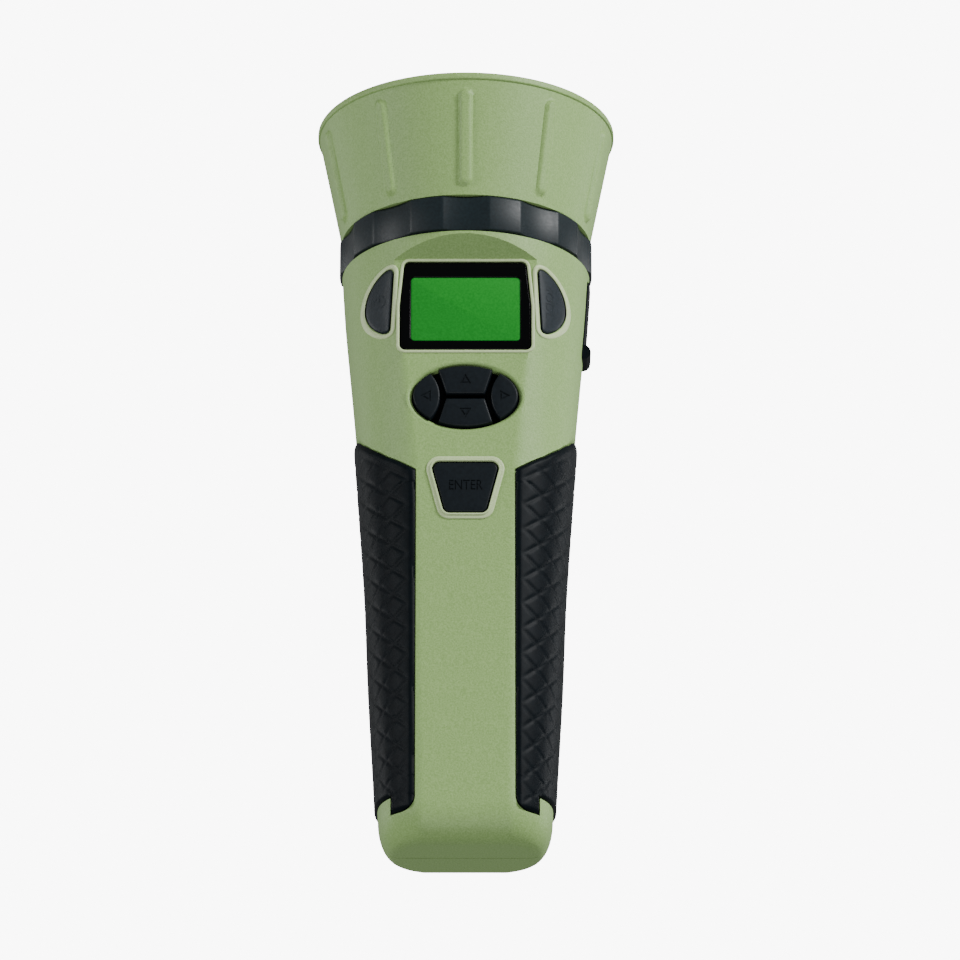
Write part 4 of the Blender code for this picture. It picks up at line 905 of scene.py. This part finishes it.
piece(rear, "rear_shell", "body", green_finish, ["rear_housing"], 30, weighted=True)
bpy.data.objects.remove(body_shell, do_unlink=True)


# ---------------------------------------------------------------- moulded lips
def on_facet(x, v, height):
    """A place over the flat front panel."""
    return FACET @ Vector((x, v, height))


def on_skin(x, v, height):
    """A place over the curved front skin."""
    z = v * math.cos(FACET_LEAN)
    return Vector((x, -(front_reach(x, z) + height), z))


# By default the lips take the lighter sage plastic: a painted highlight on the raised lips.
def lip(name, outline, profile, surface, finish=lip_highlight_finish):
    """A moulded lip: a closed profile of (outward, height) points swept round an outline."""
    rings = [grown(outline, outward) for outward, height in profile]
    columns, rows = len(outline), len(profile)

    def place(column, row):
        x, v = rings[row % rows][column % columns]
        return surface(x, v, profile[row % rows][1])

    return piece(woven(name, columns, rows, place), name, "body", finish, angle=50)


def bead(inner, width, height, foot=-0.0010):
    """The profile of a round-topped bead that starts at an inner offset."""
    points = [(inner, foot)]
    for i in range(9):
        turn = math.pi * (1 - i / 8)
        points.append((inner + width / 2 * (1 + math.cos(turn)), height * math.sin(turn) ** 0.7))
    return points + [(inner + width, foot)]


def double_bead(inner, height):
    """The profile of the enter key's lip: a narrow bead with a wider lower step outside it."""
    return [
        (inner, -0.001), (inner, height * 0.80), (inner + 0.00010, height), (inner + 0.00040, height),
        (inner + 0.00052, height * 0.80), (inner + 0.00058, height * 0.52), (inner + 0.00070, height * 0.48),
        (inner + 0.00120, height * 0.48), (inner + 0.00136, height * 0.36), (inner + 0.00142, 0.0),
        (inner + 0.00142, -0.001),
    ]


lip("window_lip", divided(display_outline(), 0.001), bead(GAP, 0.0008, 0.00034), on_facet)
lip("enter_lip", divided(enter_outline(), 0.001), double_bead(KEY_SLIT, 0.00085), on_facet)
for key_name, outline in (("power", side_key_outline()), ("mode", mirrored(side_key_outline()))):
    lip(key_name + "_lip", outline, bead(KEY_SLIT, 0.00115, 0.00042), on_skin)

dish = [
    (PAD_RIM + 0.0004, -0.0002), (PAD_RIM + 0.0004, 0.00002), (PAD_RIM, 0.00004), (PAD_RIM * 0.8, -0.00002),
    (PAD_RIM * 0.55, -0.00018), (PAD_RIM * 0.3, -0.00042), (PAD_RIM * 0.1, -0.0007),
    (0.0, -0.0010), (0.0, -0.0030),
    (PAD_RIM - 0.00005, -0.0030),
]
lip("pad_dish", pad_ellipse(0.0, 0.0, 2 * math.pi * 95 / 96, 95), dish, on_facet, green_finish)


# ---------------------------------------------------------------- keys
def button(name, outline, top, dome, surface, round_by=0.00045, low=-0.0028, rings=7):
    """A key: an outline raised to a rounded edge, and a gently domed top closed at its middle."""
    middle = sum((Vector(point) for point in outline), Vector((0, 0))) / len(outline)
    loops = [(outline, low), (outline, top - round_by)]
    for i in range(1, 5):
        turn = math.pi / 2 * i / 4
        edge = grown(outline, -round_by * (1 - math.cos(turn)))
        loops.append((edge, top - round_by * (1 - math.sin(turn))))
    edge = loops[-1][0]
    for i in range(1, rings + 1):
        size = 1 - i / rings
        ring = [tuple(middle + (Vector(point) - middle) * size) for point in edge]
        loops.append((ring, top + dome * (1 - size * size)))
    columns = len(outline)

    def place(column, row):
        x, v = loops[row][0][column % columns]
        return surface(x, v, loops[row][1])

    return woven(name, columns, len(loops) - 1, place, caps=True)


def triangle_mark(centre, turn, top):
    """A hollow triangle, as a cutter, pointing up before it is turned."""
    half, height, line = 0.0011, 0.0019, 0.00022
    shape = [(-half, -height / 2), (half, -height / 2), (0.0, height / 2)]
    place = FACET @ Matrix.Translation((*centre, 0)) @ Matrix.Rotation(turn, 4, "Z")
    outer = pressed("mark", grown(shape, line), top - 0.00022, top + 0.002, place)
    return cut(outer, pressed("mark_core", grown(shape, -line), top - 0.0005, top + 0.003, place))


pad_centre = up_facet(PAD_CENTRE_Z)
KEY_TOP = 0.0006
KEY_DOME = 0.00012
ENTER_TOP = 0.00055
pad_keys = (
    ("up_key", up_key_outline(), (0.0, pad_centre + 0.0045), 0.0),
    ("down_key", flipped(up_key_outline(), pad_centre), (0.0, pad_centre - 0.0045), math.pi),
    ("left_key", left_key_outline(), (-0.0100, pad_centre), math.pi / 2),
    ("right_key", mirrored(left_key_outline()), (0.0100, pad_centre), -math.pi / 2),
)
for key_name, outline, centre, turn in pad_keys:
    cap = button(key_name + "_cap", divided(outline, 0.0008), KEY_TOP, KEY_DOME, on_facet)
    cut(cap, triangle_mark(centre, turn, KEY_TOP + KEY_DOME))
    piece(cap, key_name + "_cap", key_name + "_part", key_finish, [key_name], 40)

enter_middle = (0.0, up_facet(ENTER_TOP_Z) - ENTER_HEIGHT * 0.47)
enter_cap = button("enter_key_cap", divided(enter_outline(), 0.0009), ENTER_TOP, 0.0001, on_facet)
enter_place = FACET @ Matrix.Translation((*enter_middle, 0)) @ Matrix.Diagonal((0.86, 1.12, 1.0, 1.0))
cut(enter_cap, lettering("enter_letters", "ENTER", 0.0034, ENTER_TOP - 0.00015, 0.003, enter_place))
piece(enter_cap, "enter_key_cap", "enter_key_part", key_finish, ["enter_key"], 40)

SIDE_KEY_TOP = 0.0006
side_middle_v = up_facet(SIDE_KEY_BOTTOM) + SIDE_KEY_HEIGHT / 2


def side_cap(name, outline):
    """A half-moon key that follows the curved skin."""
    return button(name, outline, SIDE_KEY_TOP, 0.0002, on_skin, low=-0.0035, rings=9)


def carved(cap, mark, growth):
    """Cuts a mark's shape into a side key, to a depth below its curved face."""
    cut(mark, skin("mark_floor", growth, 0.12, BODY_HEIGHT))
    return cut(cap, mark)


mark_x = SIDE_KEY_X + SIDE_KEY_WIDTH * 0.47
power_place = FACET @ Matrix.Translation((-mark_x, side_middle_v, 0))
power_cap = side_cap("power_key_cap", side_key_outline())
POWER_RING_RADIUS = 0.00165
POWER_RING_BORE_SHARE = 0.76
ring_angles = [2 * math.pi * i / 40 for i in range(40)]
power_ring = [(POWER_RING_RADIUS * math.cos(a), POWER_RING_RADIUS * math.sin(a)) for a in ring_angles]
power_core = [(x * POWER_RING_BORE_SHARE, y * POWER_RING_BORE_SHARE) for x, y in power_ring]
ring_mark = cut(
    pressed("ring_mark", power_ring, -0.012, 0.004, power_place),
    pressed("ring_core", power_core, -0.013, 0.005, power_place),
)
slot_outline = [(-0.0007, 0.0), (0.0007, 0.0), (0.0007, 0.0026), (-0.0007, 0.0026)]
cut(ring_mark, pressed("ring_slot", slot_outline, -0.013, 0.005, power_place))
bar_outline = [(-0.0002, -0.0001), (0.0002, -0.0001), (0.0002, 0.0021), (-0.0002, 0.0021)]
bar_mark = pressed("bar_mark", bar_outline, -0.012, 0.004, power_place)
carved(power_cap, merged(ring_mark, [bar_mark]), SIDE_KEY_TOP - 0.00010)
piece(power_cap, "power_key_cap", "power_key_part", side_key_finish, ["power_key"], 40)

mode_cap = side_cap("mode_key_cap", mirrored(side_key_outline()))
mode_place = (
    FACET
    @ Matrix.Translation((mark_x - 0.0005, side_middle_v + 0.0004, 0))
    @ Matrix.Rotation(-math.pi / 2, 4, "Z")
    @ Matrix.Diagonal((0.95, 0.78, 1.0, 1.0))
)
carved(mode_cap, lettering("mode_letters", "MODE", 0.0036, -0.012, 0.004, mode_place), SIDE_KEY_TOP - 0.00010)
piece(mode_cap, "mode_key_cap", "mode_key_part", side_key_finish, ["mode_key"], 40)

# ---------------------------------------------------------------- display
window_frame = pressed("window_frame", display_outline(), -0.0017, -0.0001, FACET)
cut(window_frame, pressed("window_opening", lcd_outline(), -0.003, 0.002, FACET))
modified(window_frame, "BEVEL", width=0.00022, segments=3, limit_method="ANGLE", angle_limit=math.radians(50))
piece(window_frame, "window_frame", "body", window_finish, ["display_bezel"], 40)
lit = pressed("lit_display", grown(lcd_outline(), -0.00005), -0.0022, -0.00035, FACET)
modified(lit, "BEVEL", width=0.00012, segments=2, limit_method="ANGLE", angle_limit=math.radians(50))
piece(lit, "lit_display", "body", lcd_finish, ["lcd_glass"], 40)

# ---------------------------------------------------------------- grips
GRIP_START_X = 0.0095
GRIP_LOW = 0.0045
GRIP_ROWS = 278


def inside_zone(x, z):
    """How far a place is inside the grip's outline, seen from the front."""
    top = GRIP_OUTER_TOP - z
    for (out, low), (next_out, high) in zip(GRIP_TOP_LINE, GRIP_TOP_LINE[1:]):
        slope = (high - low) / (next_out - out)
        over = low + slope * (x - GRIP_EDGE - out) - z
        if x < GRIP_EDGE + next_out:
            top = min(top, over * math.cos(math.atan(slope)))
            break
    foot = z - (GRIP_STEP_Z if x > GRIP_STEP_X else GRIP_LOBE_Z)
    return min(x - GRIP_EDGE, top, foot)


def grip_line(z):
    """Points round the right side at a height, evenly spaced from the front, and their outward directions."""
    count = 300
    outline = section(z, 0.0, PANEL_COLUMNS, count)
    right = outline[PANEL_COLUMNS // 2:PANEL_COLUMNS + count + PANEL_COLUMNS // 2 + 1]
    front = [p for p in right if p[1] <= 0.0 and p[0] >= GRIP_START_X]
    back = [p for p in right if p[1] > 0.0 and p[0] >= GRIP_START_X]
    points = []
    for run, ends in ((front, GRIP_COLUMNS), (back, GRIP_COLUMNS)):
        lengths = [0.0]
        for a, b in zip(run, run[1:]):
            lengths.append(lengths[-1] + math.dist(a, b))
        k = 0
        for i in range(ends + (run is back)):
            want = lengths[-1] * i / ends
            while k < len(run) - 2 and lengths[k + 1] < want:
                k += 1
            t = (want - lengths[k]) / max(1e-9, lengths[k + 1] - lengths[k])
            points.append(Vector(run[k]).lerp(Vector(run[k + 1]), min(1.0, t)))
    result = []
    for i, point in enumerate(points):
        ahead = points[min(i + 1, len(points) - 1)] - points[max(i - 1, 0)]
        result.append((point, Vector((ahead.y, -ahead.x)).normalized()))
    return result


def groove_share(column, row):
    """Share of the groove's depth at a vertex: whole on a groove's line, half beside it."""
    half = GROOVE_PITCH // 2
    off = min(abs((line + half) % GROOVE_PITCH - half) for line in (column + row, column - row))
    return max(0.0, 1.0 - 0.5 * off)


def grip_grid():
    """Places of the grooved grip's vertices, row by row."""
    rows = []
    for row in range(GRIP_ROWS + 1):
        z = GRIP_LOW + GRIP_ROW * row
        places = []
        for column, (point, out) in enumerate(grip_line(z)):
            depth = inside_zone(point.x, z)
            lift = GRIP_PROUD
            if depth < GRIP_ROUND:
                lift -= GRIP_ROUND - math.sqrt(GRIP_ROUND**2 - (GRIP_ROUND - max(0.0, depth)) ** 2)
            fade = min(1.0, max(0.0, (depth - GRIP_ROUND) / GROOVE_FADE))
            lift -= groove_share(column, row) * GROOVE_DEPTH * fade
            places.append((point.x + out.x * lift, point.y + out.y * lift, z))
        rows.append(places)
    return rows


grip_places = grip_grid()
GRIP_ACROSS = 2 * GRIP_COLUMNS + 1


def grip_place(column, row):
    """A vertex of the filled grip, whose last column closes it."""
    return grip_places[row][column % GRIP_ACROSS]


right_grip = woven("right_grip_cover", GRIP_ACROSS, GRIP_ROWS, grip_place, caps=True)
cut(right_grip, skin("grip_hollow", -(POCKET_DEPTH - GAP), 0.0, BODY_HEIGHT))
cut(right_grip, pressed("grip_outline", grip_zone(0.0), -0.05, 0.05, UPRIGHT), "INTERSECT")
choose(right_grip)
bpy.ops.object.duplicate()
left_grip = bpy.context.object
left_grip.data.transform(Matrix.Diagonal((-1.0, 1.0, 1.0, 1.0)))
edit_all(left_grip)
done_editing()
piece(right_grip, "right_grip_cover", "body", grip_finish, ["right_grip"], 55)
piece(left_grip, "left_grip_cover", "body", grip_finish, ["left_grip"], 55)

# ---------------------------------------------------------------- collar
def scallop_reach(angle):
    """Radius of the collar at an angle, with its shallow scallops."""
    pitch = 2 * math.pi / SCALLOPS
    off = (angle + math.pi / 2 + pitch / 2) % pitch - pitch / 2
    centre = SCALLOP_FLOOR + SCALLOP_RADIUS
    inside = SCALLOP_RADIUS**2 - (centre * math.sin(off)) ** 2
    if inside <= 0:
        return COLLAR_RADIUS
    return min(COLLAR_RADIUS, centre * math.cos(off) - math.sqrt(inside))


COLLAR_TOP = COLLAR_FOOT + COLLAR_HEIGHT
COLLAR_BORE = NECK_RADIUS + GAP
COLLAR_ROUND = 0.0006
COLLAR_BEVEL = 0.0005
collar_profile = [(0.0, COLLAR_FOOT + COLLAR_BEVEL), (0.0, COLLAR_TOP - COLLAR_ROUND)]
for i in range(1, 5):
    turn = math.pi / 2 * i / 4
    offset = -COLLAR_ROUND * (1 - math.cos(turn))
    collar_profile.append((offset, COLLAR_TOP - COLLAR_ROUND * (1 - math.sin(turn))))
collar_profile += [(None, COLLAR_TOP), (None, COLLAR_FOOT)]
collar_profile += [(-COLLAR_BEVEL, COLLAR_FOOT), (-0.00015, COLLAR_FOOT + 0.00015)]
COLLAR_COLUMNS = 480


def collar_place(column, row):
    """A vertex of the collar; a profile point with no offset is on its bore."""
    angle = 2 * math.pi * (column % COLLAR_COLUMNS) / COLLAR_COLUMNS
    offset, z = collar_profile[row % len(collar_profile)]
    radius = COLLAR_BORE if offset is None else scallop_reach(angle) + offset
    return radius * math.cos(angle), radius * math.sin(angle), z


ring = woven("scalloped_collar", COLLAR_COLUMNS, len(collar_profile), collar_place)
piece(ring, "scalloped_collar", "collar_part", collar_finish, ["collar"], 30)

# ---------------------------------------------------------------- horn
THROAT_RADIUS = NECK_RADIUS - NECK_WALL
LIP_STEP = 0.0005
LIP_STEP_HEIGHT = 0.0004
RIM_ROUND = 0.0007
LIP_FOOT_RADIUS = HORN_RIM_RADIUS - LIP_STEP
LIP_FOOT = HORN_TOP - HORN_LIP
cone_points = []
for i in range(HORN_ROWS + 1):
    t = i / HORN_ROWS
    cone_radius = HORN_FOOT_RADIUS + (LIP_FOOT_RADIUS - HORN_FOOT_RADIUS) * t
    cone_points.append((cone_radius, HORN_FOOT + (LIP_FOOT - HORN_FOOT) * t))
horn_profile = list(cone_points)
for i in range(1, 5):
    turn = math.pi / 2 * i / 4
    lip_radius = LIP_FOOT_RADIUS + LIP_STEP * math.sin(turn)
    horn_profile.append((lip_radius, LIP_FOOT + LIP_STEP_HEIGHT * (1 - math.cos(turn))))
for i in range(0, 6):
    turn = math.pi / 2 * i / 5
    rim_radius = HORN_RIM_RADIUS - RIM_ROUND * (1 - math.cos(turn))
    horn_profile.append((rim_radius, HORN_TOP - RIM_ROUND * (1 - math.sin(turn))))
inner_rim = HORN_RIM_RADIUS - HORN_WALL
horn_profile += [(inner_rim + 0.0004, HORN_TOP), (inner_rim + 0.0001, HORN_TOP - 0.0001)]
for i in range(0, 13):
    t = i / 12
    bore_radius = inner_rim + (THROAT_RADIUS - inner_rim) * t
    horn_profile.append((bore_radius, HORN_TOP - 0.0004 + (LEDGE_TOP - HORN_TOP + 0.0004) * t))
ledge_radius = THROAT_RADIUS - LEDGE_WIDTH
horn_profile += [
    (ledge_radius, LEDGE_TOP), (ledge_radius, LEDGE_TOP - LEDGE_THICKNESS),
    (THROAT_RADIUS, LEDGE_TOP - LEDGE_THICKNESS), (THROAT_RADIUS, NECK_FOOT), (NECK_RADIUS, NECK_FOOT),
    (NECK_RADIUS, HORN_FOOT), (HORN_FOOT_RADIUS - 0.0004, HORN_FOOT),
]


def rib_lift(angle, radius, z):
    """How far a rib stands proud at a place on the cone."""
    pitch = 2 * math.pi / SCALLOPS
    across = ((angle + math.pi / 2 + pitch / 2) % pitch - pitch / 2) * radius
    along = max(0.0, abs(z - HORN_FOOT - RIB_FOOT - RIB_LENGTH / 2) - (RIB_LENGTH / 2 - RIB_HALF))
    t = min(1.0, max(0.0, (RIB_HALF + 0.0002 - math.hypot(across, along)) / 0.0008))
    return RIB_PROUD * t * t * (3 - 2 * t)


def horn_place(column, row):
    """A vertex of the horn, with the ribs raised on its cone."""
    angle = 2 * math.pi * (column % HORN_COLUMNS) / HORN_COLUMNS
    row = row % len(horn_profile)
    radius, z = horn_profile[row]
    if row <= HORN_ROWS:
        radius += rib_lift(angle, radius, z)
    return radius * math.cos(angle), radius * math.sin(angle), z


horn = woven("ribbed_horn", HORN_COLUMNS, len(horn_profile), horn_place)
piece(horn, "ribbed_horn", "body", green_finish, ["horn"], 38)

# ---------------------------------------------------------------- floor, world, lights and camera
clear_selection()
bpy.ops.mesh.primitive_plane_add(size=6, location=(0, 0, -0.0002))
floor = bpy.context.object
floor.name = "studio_floor"
floor_material = bpy.data.materials.new("studio_floor")
floor_material.use_nodes = True
floor_nodes = floor_material.node_tree.nodes
floor_links = floor_material.node_tree.links
floor_shader = floor_nodes["Principled BSDF"]
floor_shader.inputs["Base Color"].default_value = (0.90, 0.90, 0.90, 1.0)
floor_shader.inputs["Roughness"].default_value = 0.9
from_below = floor_nodes.new("ShaderNodeNewGeometry")
clear = floor_nodes.new("ShaderNodeBsdfTransparent")
one_sided = floor_nodes.new("ShaderNodeMixShader")
floor_links.new(from_below.outputs["Backfacing"], one_sided.inputs[0])
floor_links.new(floor_shader.outputs[0], one_sided.inputs[1])
floor_links.new(clear.outputs[0], one_sided.inputs[2])
floor_links.new(one_sided.outputs[0], floor_nodes["Material Output"].inputs["Surface"])
floor.data.materials.append(floor_material)
floor.visible_diffuse = False
floor.visible_glossy = False
floor.visible_transmission = False
floor.visible_shadow = False

world = bpy.data.worlds.new("studio")
world.use_nodes = True
world_nodes = world.node_tree.nodes
soft = world_nodes["Background"]
soft.inputs["Color"].default_value = (1.0, 1.0, 1.0, 1.0)
soft.inputs["Strength"].default_value = 0.36
white = world_nodes.new("ShaderNodeBackground")
white.inputs["Color"].default_value = (1.0, 1.0, 1.0, 1.0)
white.inputs["Strength"].default_value = 9.0
sight = world_nodes.new("ShaderNodeLightPath")
either = world_nodes.new("ShaderNodeMixShader")
world.node_tree.links.new(sight.outputs["Is Camera Ray"], either.inputs[0])
world.node_tree.links.new(soft.outputs[0], either.inputs[1])
world.node_tree.links.new(white.outputs[0], either.inputs[2])
world.node_tree.links.new(either.outputs[0], world_nodes["World Output"].inputs["Surface"])
bpy.context.scene.world = world

AIM = Vector((0.0, 0.0, 0.11))
LIGHTS = (
    ("key_light", (1.20, -0.85, 0.85), 0.45, 42.0),
    ("left_fill", (-1.35, -0.70, 0.35), 0.6, 13.0),
    ("low_fill", (0.10, -0.90, -0.95), 0.6, 7.0),
    ("right_rim", (1.15, 0.60, 0.30), 0.5, 4.0),
    ("left_rim", (-1.15, 0.60, 0.30), 0.5, 3.0),
)
for light_name, spot, size, power in LIGHTS:
    clear_selection()
    bpy.ops.object.light_add(type="AREA", location=spot)
    light = bpy.context.object
    light.name = light_name
    light.rotation_euler = (AIM - Vector(spot)).to_track_quat("-Z", "Y").to_euler()
    light.data.shape = "DISK"
    light.data.size = size
    light.data.energy = power

VIEW_TARGET = Vector((0.0037, 0.0, 0.1025))
VIEW_BELOW = math.radians(21.9)
VIEW_DISTANCE = 1.6
eye = VIEW_TARGET + VIEW_DISTANCE * Vector((0.0, -math.cos(VIEW_BELOW), -math.sin(VIEW_BELOW)))
clear_selection()
bpy.ops.object.camera_add(location=eye, rotation=(math.pi / 2 + VIEW_BELOW, 0.0, 0.0))
camera = bpy.context.object
camera.name = "main_camera"
camera.data.sensor_width = 36.0
camera.data.lens = 233.0
camera.data.clip_end = 20.0
bpy.context.scene.camera = camera
clear_selection()
